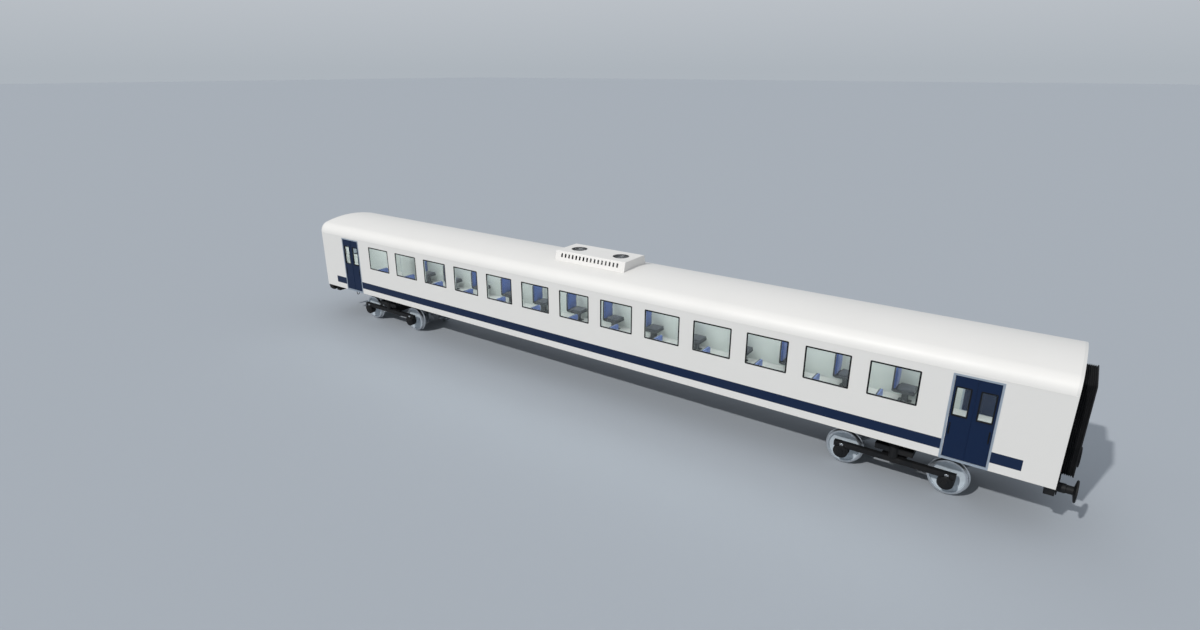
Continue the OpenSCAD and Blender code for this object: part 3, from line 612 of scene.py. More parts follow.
def tube_into(mesh, path, radius, sides=10, closed=False):
    """A round bar along a path, with a section that doesn't twist."""
    path = [Vector(point) for point in path]
    last, across, loops = len(path) - 1, None, []
    for i, point in enumerate(path):
        before = path[i - 1] if i or closed else point
        after = path[i + 1] if i < last else (path[0] if closed else point)
        along = (after - before).normalized()
        across = along.orthogonal() if across is None else across - across.dot(along) * along
        across.normalize()
        up = along.cross(across)
        loops.append([point + radius * (math.cos(t) * across + math.sin(t) * up) for t in angles(sides)])
    skin_into(mesh, loops, closed)


# %% Frames round a rounded rectangle


def rounded(half_u, half_v, radius, steps=5):
    """The outline of a rectangle with rounded corners, as (u, v) points."""
    points = []
    for quarter, (su, sv) in enumerate(((1, 1), (-1, 1), (-1, -1), (1, -1))):
        for step in range(steps):
            turn = math.pi / 2 * (quarter + step / (steps - 1))
            points.append((su * (half_u - radius) + radius * math.cos(turn),
                           sv * (half_v - radius) + radius * math.sin(turn)))
    return points


def frame_into(mesh, half_u, half_v, section, radius, place):
    """A section of (outward, depth) points run round a rounded rectangle; place(u, v, depth) is a point."""
    skin_into(mesh, [[place(u, v, depth) for u, v in rounded(half_u + out, half_v + out,
                                                             max(radius + out, 0.003))]
                     for out, depth in section])


def on_side(centre, face_y, outward):
    """Places u along the coach, v upwards and depth out of a face that looks along Y."""
    return lambda u, v, depth: Vector((centre.x + u, face_y + outward * depth, centre.z + v))


# %% One function finishes a piece


def plain_mesh(mesh, name):
    """The finished data of a mesh that is being built: doubles merged and faces outwards."""
    bmesh.ops.remove_doubles(mesh, verts=mesh.verts, dist=1e-5)
    bmesh.ops.recalc_face_normals(mesh, faces=mesh.faces)
    data = bpy.data.meshes.new(name)
    mesh.to_mesh(data)
    mesh.free()
    return data


def piece(name, mesh, body, material, stands_for=(), bevel=0.0, smooth=35):
    """A finished object with its finish, its smooth faces and eased edges, riding on its body."""
    data = plain_mesh(mesh, name) if isinstance(mesh, bmesh.types.BMesh) else mesh
    made = bpy.data.objects.new(name, data)
    scene.collection.objects.link(made)
    data.materials.clear()
    data.materials.append(material)
    data.polygons.foreach_set("use_smooth", [True] * len(data.polygons))
    data.polygons.foreach_set("material_index", [0] * len(data.polygons))
    data.set_sharp_from_angle(angle=math.radians(smooth))
    if bevel:
        eased = made.modifiers.new("eased edges", "BEVEL")
        eased.width, eased.segments, eased.limit_method = bevel, 2, "ANGLE"
    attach(made, body)
    if stands_for:
        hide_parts(*stands_for)
    return made


# %% [markdown]
# ## Geometry Nodes for what repeats
# Thirteen windows, rows of brackets, rings of bolts: each is one shape, repeated by a rule. A node tree
# holds the rule with named inputs, and the result is turned into a plain mesh, so that the finished coach
# needs no modifier for it. There are three rules: a straight row, copies turned about an axis, and copies
# at given places.

# %% Building and running a tree


def new_rule(name, **inputs):
    """A geometry tree with its named inputs, its input node's sockets and its output socket."""
    tree = bpy.data.node_groups.new(name, "GeometryNodeTree")
    tree.interface.new_socket("Places", in_out="INPUT", socket_type="NodeSocketGeometry")
    for label, kind in inputs.items():
        tree.interface.new_socket(label, in_out="INPUT", socket_type="NodeSocket" + kind)
    tree.interface.new_socket("Result", in_out="OUTPUT", socket_type="NodeSocketGeometry")
    return tree, tree.nodes.new("NodeGroupInput").outputs, tree.nodes.new("NodeGroupOutput").inputs


def close_rule(tree, given, result, copies):
    """Ends a tree: real copies in place of instances, then their material."""
    real = add(tree, "GeometryNodeRealizeInstances", {0: copies}).outputs[0]
    done = add(tree, "GeometryNodeSetMaterial", {0: real, "Material": given["Finish"]}).outputs[0]
    tree.links.new(done, result["Result"])


def copies_on(tree, given, points, **inputs):
    """A copy of the given shape on each point."""
    shape = add(tree, "GeometryNodeObjectInfo", {0: given["Shape"]}).outputs["Geometry"]
    inputs.update(Points=points, Instance=shape)
    return add(tree, "GeometryNodeInstanceOnPoints", inputs).outputs[0]


def run_rule(tree, mesh, material, places=((0, 0, 0),), turns=None, **values):
    """The tree's result as a plain mesh, from a shape that is finished or still being built."""
    data = plain_mesh(mesh, "shape") if isinstance(mesh, bmesh.types.BMesh) else mesh
    shape = bpy.data.objects.new("shape", data)
    seeds = bpy.data.meshes.new("places")
    seeds.from_pydata([tuple(place) for place in places], [], [])
    if turns:
        turn = seeds.attributes.new("turn", "FLOAT_VECTOR", "POINT")
        turn.data.foreach_set("vector", [angle for turned in turns for angle in turned])
    host = bpy.data.objects.new("host", seeds)
    scene.collection.objects.link(host)
    growth = host.modifiers.new("growth", "NODES")
    growth.node_group = tree
    values.update(Shape=shape, Finish=material)
    for socket in tree.interface.items_tree:
        if socket.name in values:
            growth[socket.identifier] = values[socket.name]
    graph = bpy.context.evaluated_depsgraph_get()
    made = bpy.data.meshes.new_from_object(host.evaluated_get(graph), depsgraph=graph)
    host.modifiers.remove(growth)
    bpy.data.objects.remove(host)
    bpy.data.objects.remove(shape)
    return made


# %% Rule 1: a straight row
row_rule, given, result = new_rule("Row", Shape="Object", Count="Int", Step="Vector", Finish="Material")
line = add(row_rule, "GeometryNodeMeshLine", {"Count": given["Count"], "Offset": given["Step"]})
close_rule(row_rule, given, result, copies_on(row_rule, given, line.outputs[0]))

# %% Rule 2: copies turned about an axis through a centre
turn_rule, given, result = new_rule(
    "Turned copies", Shape="Object", Count="Int", Axis="Vector", Centre="Vector", Finish="Material")
line = add(turn_rule, "GeometryNodeMeshLine", {"Count": given["Count"], "Offset": (0, 0, 0)})
number = add(turn_rule, "GeometryNodeInputIndex").outputs[0]
angle = calc(turn_rule, "MULTIPLY", number, calc(turn_rule, "DIVIDE", 2 * math.pi, given["Count"]))
turned = add(turn_rule, "ShaderNodeVectorMath", {0: given["Axis"], "Scale": angle}, operation="SCALE")
spun = add(turn_rule, "GeometryNodeRotateInstances", {
    "Instances": copies_on(turn_rule, given, line.outputs[0]), "Rotation": turned.outputs[0],
    "Pivot Point": given["Centre"], "Local Space": False})
close_rule(turn_rule, given, result, spun.outputs[0])

# %% Rule 3: copies at given places, each with its own turn
place_rule, given, result = new_rule("Placed copies", Shape="Object", Finish="Material")
turn = add(place_rule, "GeometryNodeInputNamedAttribute", {"Name": "turn"}, data_type="FLOAT_VECTOR")
copies = copies_on(place_rule, given, given["Places"], Rotation=turn.outputs["Attribute"])
close_rule(place_rule, given, result, copies)
print("rules:", ", ".join(tree.name for tree in (row_rule, turn_rule, place_rule)))

# %% Bolts by place and direction


def bolts(name, body, spots, radius, height, material=black_paint):
    """Hexagon bolt heads; a spot is (place, direction the head points)."""
    head = bmesh.new()
    lathe_into(head, [(0, radius * 1.35), (height * 0.2, radius * 1.35), (height * 0.25, radius),
                      (height * 0.85, radius), (height, radius * 0.8)], (0, 0, 0), (0, 0, 1), 6)
    turns = [Vector((0, 0, 1)).rotation_difference(Vector(out)).to_euler() for _, out in spots]
    made = run_rule(place_rule, head, material, [place for place, _ in spots], turns)
    return piece(name, made, body, material)


# %% [markdown]
# ## Window frames
# Each window sits in a black rubber frame that laps a little over the body panel. The first one on each
# side is run round its pane as a section, and the row rule repeats it at the window pitch. A narrow trim of
# pale panel closes the same opening on the inside.

# %% Window frames and inner trims
FRAME_LAP = 0.008
FRAME_FACE = 0.032
FRAME_PROUD = 0.003
WINDOW_CORNER = 0.022
window_pitch = right_panes[1][0].x - right_panes[0][0].x
pane_half = (right_panes[0][1] - right_panes[0][0]) / 2
for side, outward in SIDES:
    first = middle(next(box for box in panes if box[0].y * outward > 0))
    face, glass_face = outward * half_width, pane_half.y * outward + first.y
    gap = abs(face - glass_face)
    outer = [(FRAME_LAP, 0.0), (FRAME_LAP - 0.001, FRAME_PROUD), (-FRAME_FACE + 0.003, FRAME_PROUD),
             (-FRAME_FACE, FRAME_PROUD - 0.002), (-FRAME_FACE, -gap), (-0.001, -gap), (-0.001, 0.0)]
    inner_face = outward * inner_y
    depth = abs(inner_face - (first.y - outward * pane_half.y))
    inner = [(0.03, 0.0), (0.028, 0.006), (-0.006, 0.006), (-0.010, 0.003), (-0.010, -depth),
             (-0.001, -depth), (-0.001, 0.0)]
    for label, section, face_y, facing, material, slot in (
            ("frames", outer, face, outward, gasket, "frame_black"),
            ("trims", inner, inner_face, -outward, panel, "interior_panel")):
        ring = bmesh.new()
        frame_into(ring, pane_half.x, pane_half.z, section, WINDOW_CORNER, on_side(first, face_y, facing))
        row = run_rule(row_rule, ring, material, Count=len(right_panes), Step=(window_pitch, 0, 0))
        piece("_".join((side, "window", label)), row, "coach", material)
print(2 * len(right_panes), "windows framed at", round(window_pitch, 3), "m")

# %% [markdown]
# ## Rain gutters
# A thin lip of sheet runs along each side where the roof starts, and keeps rain off the windows and doors.
# It is a plain rolled section, so a tube of a few sides along the body does it.

# %% Gutters
GUTTER_R = 0.006
GUTTER_DROP = 0.01
for side, outward in SIDES:
    lip = bmesh.new()
    y, z = outward * (half_width - 0.001), side_top - GUTTER_DROP
    tube_into(lip, [(-body_end + 0.02, y, z), (body_end - 0.02, y, z)], GUTTER_R, 8)
    piece(side + "_gutter", lip, "coach", roof_paint, smooth=60)
print("gutters at z", round(side_top - GUTTER_DROP, 3))

# %% [markdown]
# ## Door leaves
# Each leaf has a window in a thick rubber profile and an upright grip. The rubber is proud of the leaf by
# only a few millimetres, because the two leaves fold with their outer faces together. The grip stands near
# the edge that is away from the fold, where the folded leaves are furthest apart.

# %% Leaf gaskets and grips
GASKET_LAP = 0.008
GASKET_FACE = 0.026
GASKET_PROUD = 0.0025
GRIP_LOW, GRIP_HIGH = 1.93, 2.23
GRIP_HALF_W = 0.017
GRIP_FROM_EDGE = 0.055
GRIP_OUT = 0.013
PANE_CORNER = 0.02
LEAF_SET_BACK = 0.008


def lipped(depth):
    """An L-shaped rubber section that covers an edge and reaches back to the glass."""
    return [(GASKET_LAP, 0.0), (GASKET_LAP - 0.001, GASKET_PROUD), (-GASKET_FACE + 0.002, GASKET_PROUD),
            (-GASKET_FACE, GASKET_PROUD - 0.002), (-GASKET_FACE, -depth), (-0.001, -depth), (-0.001, 0.0)]


def grip_into(mesh, x, face_y, outward):
    """A flat black plate with a raised bar, whose ends bend down to it."""
    at = Vector((x, 0, (GRIP_LOW + GRIP_HIGH) / 2))
    half_v = (GRIP_HIGH - GRIP_LOW) / 2
    place = on_side(at, face_y, outward)
    plate = rounded(GRIP_HALF_W, half_v, 0.012)
    skin_into(mesh, [[place(u * k, v * k if k < 1 else v, d) for u, v in plate]
                     for k, d in ((1, 0.0), (1, 0.003), (0.96, 0.004))], closed=False)
    rise = [(-0.12, 0.002), (-0.115, 0.007), (-0.10, GRIP_OUT - 0.005), (0.10, GRIP_OUT - 0.005),
            (0.115, 0.007), (0.12, 0.002)]
    tube_into(mesh, [place(0, v, d) for v, d in rise], 0.005, 10)


for end in ("front", "rear"):
    for side, outward in SIDES:
        for leaf in ("lead", "fold"):
            label = "_".join((end, side, leaf))
            body = label + "_leaf"
            low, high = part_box(label + "_glass")
            leaf_low, leaf_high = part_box("_".join((end, side, "door", leaf)))
            hinge_y = abs(joint_at["_".join((end, side, "door"))].y)
            face_y, back_y = outward * (half_width - LEAF_SET_BACK), outward * hinge_y
            at, half = (low + high) / 2, (high - low) / 2
            rings, grips = bmesh.new(), bmesh.new()
            for y, facing in ((face_y, outward), (back_y, -outward)):
                to_glass = abs(y - (at.y + facing * half.y))
                frame_into(rings, half.x, half.z, lipped(to_glass), PANE_CORNER, on_side(at, y, facing))
            edges = sorted((abs(leaf_low.x), abs(leaf_high.x)))
            from_middle = edges[1] - GRIP_FROM_EDGE if leaf == "lead" else edges[0] + GRIP_FROM_EDGE
            x = math.copysign(from_middle, at.x)
            grip_into(grips, x, face_y, outward)
            grip_into(grips, x, back_y, -outward)
            piece(label + "_gasket", rings, body, gasket)
            piece(label + "_grip", grips, body, gasket, smooth=40)
print("eight leaves with gaskets and grips")

# %% [markdown]
# ## End doors
# The end door slides behind the end wall with little room on that side, so its rubber lies flush there and
# only the saloon side is proud. Its grip is on the saloon side too.

# %% End door gaskets and grips
END_GRIP_LOW, END_GRIP_HIGH = 2.05, 2.39
END_GRIP_OUT = 0.03
END_GRIP_BEND = 0.02
END_GRIP_FROM_EDGE = 0.07
FLUSH_FACE = 0.022
for end, outward in ENDS:
    low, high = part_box(end + "_end_door_glass")
    door_low, door_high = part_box(end + "_end_door")
    at, half = (low + high) / 2, (high - low) / 2
    inside_x = door_low.x if outward > 0 else door_high.x
    outside_x = door_high.x if outward > 0 else door_low.x
    rings, grip = bmesh.new(), bmesh.new()
    reach = abs(outside_x - (at.x + outward * half.x))
    flush = [(-0.001, 0), (-FLUSH_FACE, 0), (-FLUSH_FACE, -reach), (-0.001, -reach)]
    frame_into(rings, half.y, half.z, flush, PANE_CORNER,
               lambda u, v, d: Vector((outside_x + outward * d, at.y + u, at.z + v)))
    frame_into(rings, half.y, half.z, lipped(reach), PANE_CORNER,
               lambda u, v, d: Vector((inside_x - outward * d, at.y + u, at.z + v)))
    piece(end + "_end_door_gasket", rings, end + "_sliding_door", gasket)
    y, bar_x = door_low.y + END_GRIP_FROM_EDGE, inside_x - outward * END_GRIP_OUT
    path = [(inside_x, y, END_GRIP_LOW), (bar_x, y, END_GRIP_LOW + END_GRIP_BEND),
            (bar_x, y, END_GRIP_HIGH - END_GRIP_BEND), (inside_x, y, END_GRIP_HIGH)]
    tube_into(grip, path, 0.009, 12)
    piece(end + "_end_door_grip", grip, end + "_sliding_door", bright_steel, smooth=50)
print("two end doors")

# %% [markdown]
# ## Gangway bellows
# The passage between two coaches is closed by a folded rubber tunnel. Its section goes up and down by the
# same fold again and again, so the mesh is a list of rounded rectangles from the end wall to the face and
# back along the inside. It stands for the plain solid of the design.

# %% Bellows
FOLDS = 7
FOLD_DEPTH = 0.030
FACE_T = 0.022
TUNNEL_WALL_Y = 0.1
TUNNEL_WALL_Z = 0.08
INNER_FOLD = 0.012
for end, outward in ENDS:
    low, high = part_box("gangway_bellows")
    tunnel_z = (low.z + high.z) / 2
    half_y, half_z = high.y, (high.z - low.z) / 2
    near, far = body_end, high.x
    fold_run = far - FACE_T - near
    stations = [(near + fold_run * i / (2 * FOLDS), FOLD_DEPTH * (i % 2)) for i in range(2 * FOLDS + 1)]
    outside = stations + [(far - FACE_T, 0.0), (far, 0.0)]
    loops = [(x, half_y - drop, half_z - drop, 0.08) for x, drop in outside]
    hollow_y, hollow_z = half_y - TUNNEL_WALL_Y, half_z - TUNNEL_WALL_Z
    loops += [(far, hollow_y, hollow_z, 0.05)]
    loops += [(x, hollow_y + INNER_FOLD * (i % 2), hollow_z + INNER_FOLD * (i % 2), 0.05)
              for i, (x, _) in enumerate(reversed(stations))]
    tunnel = bmesh.new()
    skin_into(tunnel, [[Vector((outward * x, u, tunnel_z + v)) for u, v in rounded(hy, hz, r)]
                       for x, hy, hz, r in loops])
    piece(end + "_bellows", tunnel, "coach", rubber,
          ["gangway_bellows"], smooth=20)
print("bellows with", FOLDS, "folds")

# %% [markdown]
# ## Fan guards
# A wire guard of four rings and eight spokes lies over each roof fan, and twelve screws hold the rim of the
# well. Spokes and screws are copies turned about the fan's axis.

# %% Fan guards and rim screws
WIRE_R = 0.003
RING_RADII = (0.03, 0.095, 0.165, 0.235)
SPOKES = 8
RIM_SCREWS = 12
for end, sign in ENDS:
    centre = Vector((sign * fan_x, 0, unit_high.z - 0.012))
    spoke = bmesh.new()
    tube_into(spoke, [centre + Vector((RING_RADII[0], 0, 0)), centre + Vector((well_r, 0, 0))], WIRE_R, 6)
    spokes = run_rule(turn_rule, spoke, fan_plastic, Count=SPOKES, Axis=(0, 0, 1), Centre=centre)
    guard = bmesh.new()
    guard.from_mesh(spokes)
    for radius in RING_RADII:
        tube_into(guard, circle(centre, (0, 0, 1), radius, 36), WIRE_R, 6, closed=True)
    piece(end + "_fan_guard", guard, "coach", rack_metal, smooth=60)
    screw = bmesh.new()
    lathe_into(screw, [(0, 0.008), (0.002, 0.008), (0.003, 0.005)],
               (sign * fan_x + well_r + 0.02, 0, unit_high.z - 0.0002), (0, 0, 1), 8)
    ring = run_rule(turn_rule, screw, bright_steel, Count=RIM_SCREWS, Axis=(0, 0, 1), Centre=centre)
    piece(end + "_well_screws", ring, "coach", bright_steel)
print("two guards")

# %% [markdown]
# ## Seats
# A seat is a moulded shell on one leg, with two upholstered pads. The shell's edges are rounded over, so it
# is built as a skin of rounded outlines. The pan and leg keep the plain T shape of the design. One seat is
# made, and the placing rule sets it wherever the design has a seat.

# %% Seat places
seat_boxes = solids("seat_frames")
pad_boxes = solids("seat_cushions")
back_boxes = solids("back_cushions")
seat_low, seat_high = seat_boxes[0]
seat_at = Vector((back_boxes[0][0].x, (seat_low.y + seat_high.y) / 2, seat_low.z))
seat_spots = [Vector((box[0].x, (box[0].y + box[1].y) / 2, seat_low.z)) for box in back_boxes]
seat_steps = [spot - seat_at for spot in seat_spots]
half_seat = (seat_high.y - seat_low.y) / 2
print(len(seat_steps), "seats, the first at", tuple(round(c, 3) for c in seat_at))

# %% Seat shell, pan and leg
SHELL_T = 0.035
frame_low_x = seat_low.x
shell = bmesh.new()
pan_low, pan_top = pad_boxes[0][0].z - 0.06, pad_boxes[0][0].z
shell_mid = (pan_low + seat_high.z) / 2
shell_half = (seat_high.z - pan_low) / 2
outline = [(frame_low_x + d, grow) for d, grow in (
    (0.004, -0.016), (0.0, -0.006), (0.010, 0.0), (SHELL_T - 0.006, 0.0), (SHELL_T, -0.004))]
skin_into(shell, [[Vector((x, seat_at.y + u, shell_mid + v)) for u, v in
                   rounded(half_seat + g, shell_half + g, 0.07 + g)] for x, g in outline], closed=False)
pan_end = seat_high.x
for z0, z1, x0, x1, half_y, corner in (
        (pan_low, pan_top, frame_low_x + SHELL_T - 0.004, pan_end, half_seat - 0.012, 0.045),
        (seat_low.z + 0.018, pan_low + 0.004, frame_low_x + 0.235, frame_low_x + 0.395, 0.11, 0.04),
        (seat_low.z, seat_low.z + 0.02, frame_low_x + 0.145, frame_low_x + 0.485, 0.15, 0.03)):
    mid_x, half_x = (x0 + x1) / 2, (x1 - x0) / 2
    skin_into(shell, [[Vector((mid_x + u, seat_at.y + v, z)) for u, v in
                       rounded(half_x + g, half_y + g, corner)]
                      for z, g in ((z0, -0.004), (z0 + 0.004, 0.0), (z1 - 0.004, 0.0), (z1, -0.004))],
              closed=False)
frames_mesh = run_rule(place_rule, shell, seat_plastic, seat_steps)
piece("seat_shells_and_legs", frames_mesh, "coach", seat_plastic, ["seat_frames"], smooth=40)
print("seat shells and legs")

# %% [markdown]
# ## Upholstery
# A train seat's pad is foam in a sewn cover: it crowns in the middle, pulls in between its corners, and has
# piping round the edge where the panels meet. A cloth simulation with a little air pressure inside swells
# the cover as foam does. The pressure is low and the motion is damped, so the cover stretches until its pull
# balances the pressure and then stays still: the last frames no longer change the shape. The start shape is
# smaller than the pad's space, and the face that rests on the shell or pan is held flat while the rest
# swells. The crown is then added by a formula, and is not part of what the cloth does. One seat pad and
# one back pad are swelled and then copied.

# %% Swelling a pad
PAD_VOXEL = 0.0175
PAD_SHRINK = 0.014
PAD_TOP_SHRINK = 0.024
PAD_PRESSURE = 0.6
SEATED_DEPTH = 0.006
PAD_STIFFNESS = 40
PAD_DAMPING = 25
PAD_AIR_DRAG = 10
SWELL_FRAMES = 60
REST_LIMIT = 0.0005
TOP_LIMIT = 0.006


def offset(middle_at, across, u, v):
    """A point moved from a middle by u and v along two axes."""
    point = Vector(middle_at)
    point[across[0]] += u
    point[across[1]] += v
    return point


def pad_mesh(low, high, corner, flat_axis, crown):
    """A swelled pad between two corners; flat_axis faces the shell or pan on its low side."""
    start_low = low + Vector([PAD_SHRINK if a != flat_axis else 0.001 for a in range(3)])
    start_high = high - Vector([PAD_SHRINK if a != flat_axis else PAD_TOP_SHRINK for a in range(3)])
    mid, half = (start_low + start_high) / 2, (start_high - start_low) / 2
    across = [a for a in range(3) if a != flat_axis]
    shape = bmesh.new()
    loops = []
    for level, draw in ((-1, -0.006), (-0.7, 0.0), (0.45, 0.0), (0.85, -0.008), (1, -0.022)):
        loop = []
        for u, v in rounded(half[across[0]] + draw, half[across[1]] + draw, corner):
            point = offset(mid, across, u, v)
            point[flat_axis] += level * half[flat_axis]
            loop.append(point)
        loops.append(loop)
    skin_into(shape, loops, closed=False)
    bmesh.ops.recalc_face_normals(shape, faces=shape.faces)
    data = bpy.data.meshes.new("pad")
    shape.to_mesh(data)
    shape.free()
    pad = bpy.data.objects.new("pad", data)
    scene.collection.objects.link(pad)
    remesh = pad.modifiers.new("even cloth", "REMESH")
    remesh.mode, remesh.voxel_size, remesh.use_smooth_shade = "VOXEL", PAD_VOXEL, True
    settle(pad)
    before = [vert.co.copy() for vert in pad.data.vertices]
    seated = [vert.index for vert in pad.data.vertices
              if vert.co[flat_axis] < start_low[flat_axis] + SEATED_DEPTH]
    pad.vertex_groups.new(name="seated").add(seated, 1.0, "REPLACE")
    swell(pad)
    for vert, was in zip(pad.data.vertices, before):
        shares = [min(1.0, abs(was[a] - mid[a]) / half[a]) for a in across]
        rise = crown * (1 - shares[0] ** 2) * (1 - shares[1] ** 2)
        above = (was[flat_axis] - start_low[flat_axis]) / (2 * half[flat_axis])
        vert.co[flat_axis] += rise * max(0.0, above)
        for axis in range(3):
            vert.co[axis] = min(max(vert.co[axis], low[axis] + REST_LIMIT), high[axis] + TOP_LIMIT)
    return pad


def settle(obj):
    """Puts an object's modifiers into its mesh."""
    graph = bpy.context.evaluated_depsgraph_get()
    made = bpy.data.meshes.new_from_object(obj.evaluated_get(graph), depsgraph=graph)
    obj.modifiers.clear()
    obj.data = made


def swell(pad):
    """Cloth with pressure inside and no gravity, stepped to its last frame."""
    cover = pad.modifiers.new("cover", "CLOTH")
    cover.point_cache.frame_end = scene.frame_end = SWELL_FRAMES
    cloth = cover.settings
    cloth.vertex_group_mass = "seated"
    cloth.use_pressure = True
    cloth.uniform_pressure_force = PAD_PRESSURE
    cloth.effector_weights.gravity = 0
    cloth.air_damping = PAD_AIR_DRAG
    cloth.tension_stiffness = cloth.compression_stiffness = cloth.shear_stiffness = PAD_STIFFNESS
    cloth.tension_damping = cloth.compression_damping = cloth.shear_damping = PAD_DAMPING
    cloth.bending_stiffness = 0.6
    cloth.quality = 5
    for frame_number in range(1, SWELL_FRAMES + 1):
        scene.frame_set(frame_number)
    settle(pad)
    scene.frame_set(1)


def piping_round(pad, path, radius):
    """Piping that follows a path on the pad's surface, half sunk in the seam."""
    points = []
    for point in path:
        _, place, normal, _ = pad.closest_point_on_mesh(point)
        points.append(place + normal * radius * 0.2)
    cord = bmesh.new()
    tube_into(cord, points, radius, 6, closed=True)
    return cord


# %% Seat pads and back pads
PIPING_R = 0.0045
pads = {
    "seat_pads": (pad_boxes[0], 2, 0.045, 0.012, dark_cloth, "seat_cloth_dark", "seat_cushions"),
    "back_pads": (back_boxes[0], 0, 0.055, 0.008, blue_cloth, "seat_cloth_blue", "back_cushions"),
}
for name, ((low, high), flat_axis, corner, crown, cloth, slot_name, node) in pads.items():
    pad = pad_mesh(Vector(low), Vector(high), corner, flat_axis, crown)
    across = [a for a in range(3) if a != flat_axis]
    mid, half = (low + high) / 2, (high - low) / 2
    path = []
    for u, v in rounded(half[across[0]] - 0.012, half[across[1]] - 0.012, corner, 8):
        point = offset(mid, across, u, v)
        point[flat_axis] = high[flat_axis] - 0.020
        path.append(point)
    cord = piping_round(pad, path, PIPING_R)
    data = pad.data.copy()
    bpy.data.objects.remove(pad)
    covers = piece(name, run_rule(place_rule, data, cloth, seat_steps), "coach", cloth, [node],
                   smooth=80)
    edges = run_rule(place_rule, cord, seat_plastic, seat_steps)
    piece(name + "_piping", edges, "coach", seat_plastic, smooth=80)
    print(name, len(covers.data.polygons), "faces on", len(seat_steps), "seats")

# %% [markdown]
# ## Luggage racks
# The rack's shelf is in the design. Under it go the pressed brackets that carry it, about one a window, and
# over it two rails along its edge. The brackets are a straight row, so the row rule sets them.

# %% Rack brackets and rails
rack_low, rack_high = solids("luggage_racks")[0]
BRACKETS = 14
BRACKET_T = 0.006
BRACKET_DROP = 0.055
bracket_step = (rack_high.x - rack_low.x - 0.4) / (BRACKETS - 1)
for side, outward in SIDES:
    bracket, rails = bmesh.new(), bmesh.new()
    wall_y, tip_y = outward * inner_y, outward * (-rack_high.y + 0.03)
    x = rack_low.x + 0.2
    foot_z = rack_low.z - BRACKET_DROP
    side_view = [(wall_y, rack_low.z), (wall_y, foot_z), (wall_y - outward * 0.03, foot_z),
                 (tip_y, rack_low.z - 0.008), (tip_y, rack_low.z)]
    skin_into(bracket, [[Vector((x + t, y, z)) for y, z in side_view] for t in (0, BRACKET_T)],
              closed=False)
    row = run_rule(row_rule, bracket, rack_metal, Count=BRACKETS, Step=(bracket_step, 0, 0))
    piece(side + "_rack_brackets", row, "coach", rack_metal)
    for y, z in ((tip_y, rack_high.z + 0.012), (tip_y + outward * 0.1, rack_high.z + 0.004)):
        tube_into(rails, [(rack_low.x + 0.01, y, z), (rack_high.x - 0.01, y, z)], 0.007, 10)
    piece(side + "_rack_rails", rails, "coach", rack_metal, smooth=60)
print(2 * BRACKETS, "brackets")

# %% [markdown]
# ## Bogie fittings
# The design has the bogie's frame, bolster, springs and axleboxes. What is added is what a fitter would bolt
# on: a turned cover with its ring of bolts on each axlebox, a bright steel plate on the side bar above it,
# and the steel coil round each spring.

# %% Axlebox covers, side bar plates and coils
COVER_R = 0.150
COVER_BOLTS = 6
COIL_R = 0.126
COIL_WIRE_R = 0.010
COIL_TURNS = 5
COIL_STEPS = 20
COIL_FOOT_Z = 1.012
SPRING_Y = 1.0
COVER_BOLT_RING_R = 0.115
PLATE_HALF, PLATE_T = 0.045, 0.012
PLATE_LOW, PLATE_HIGH = 0.62, 0.70


def outer_face(low, high):
    """Which way a box looks from the coach's middle, and the y of its outer face."""
    outward = math.copysign(1, low.y)
    return outward, outward * max(abs(low.y), abs(high.y))


for end, sign in ENDS:
    body = end + "_bogie"
    corners = cad[end + "_bogie_frame"].data.vertices
    bar_face = max(abs(v.co.y) for v in corners
                   if v.co.z < 0.74 and abs(abs(v.co.x) - bogie_x) > 0.6)
    spring_top = max(v.co.z for v in corners)
    covers, plates, coils, spots, plate_spots = bmesh.new(), bmesh.new(), bmesh.new(), [], []
    for low, high in solids(end + "_axleboxes"):
        x = (low.x + high.x) / 2
        outward, face_y = outer_face(low, high)
        lathe_into(covers, [(-0.002, COVER_R), (0.010, COVER_R), (0.016, COVER_R - 0.008),
                            (0.018, 0.07), (0.034, 0.062), (0.036, 0.03)],
                   (x, face_y, axle_h), (0, outward, 0), 40)
        for turn in angles(COVER_BOLTS):
            place = Vector((x + COVER_BOLT_RING_R * math.sin(turn), face_y + outward * 0.016,
                            axle_h + COVER_BOLT_RING_R * math.cos(turn)))
            spots.append((place, (0, outward, 0)))
        plate_y = outward * bar_face
        front_y = plate_y + outward * PLATE_T
        box_into(plates, (x - PLATE_HALF, min(plate_y, front_y), PLATE_LOW),
                 (x + PLATE_HALF, max(plate_y, front_y), PLATE_HIGH))
        plate_spots += [(Vector((x + dx, front_y, (PLATE_LOW + PLATE_HIGH) / 2)), (0, outward, 0))
                        for dx in (-0.025, 0.025)]
    for outward in (-1, 1):
        rise = (spring_top - 0.03 - COIL_FOOT_Z) / COIL_TURNS
        turns = [i / COIL_STEPS for i in range(COIL_STEPS * COIL_TURNS + 1)]
        path = [Vector((sign * bogie_x + COIL_R * math.cos(turn * 2 * math.pi),
                        outward * SPRING_Y + COIL_R * math.sin(turn * 2 * math.pi),
                        COIL_FOOT_Z + rise * turn)) for turn in turns]
        tube_into(coils, path, COIL_WIRE_R, 8)
    piece(end + "_axlebox_covers", covers, body, black_paint, smooth=30)
    piece(end + "_side_bar_plates", plates, body, bright_steel, bevel=0.003)
    piece(end + "_spring_coils", coils, body, black_paint, smooth=60)
    bolts(end + "_cover_bolts", body, spots, 0.011, 0.012)
    bolts(end + "_plate_bolts", body, plate_spots, 0.009, 0.008, bright_steel)
print("side bar's outer face at y", round(bar_face, 3))

# %% [markdown]
# ## Brake disc bolts
# Each axle carries two brake discs, clamped to their hubs by a ring of bolts. The placing rule sets a ring on
# the outer face of each disc.

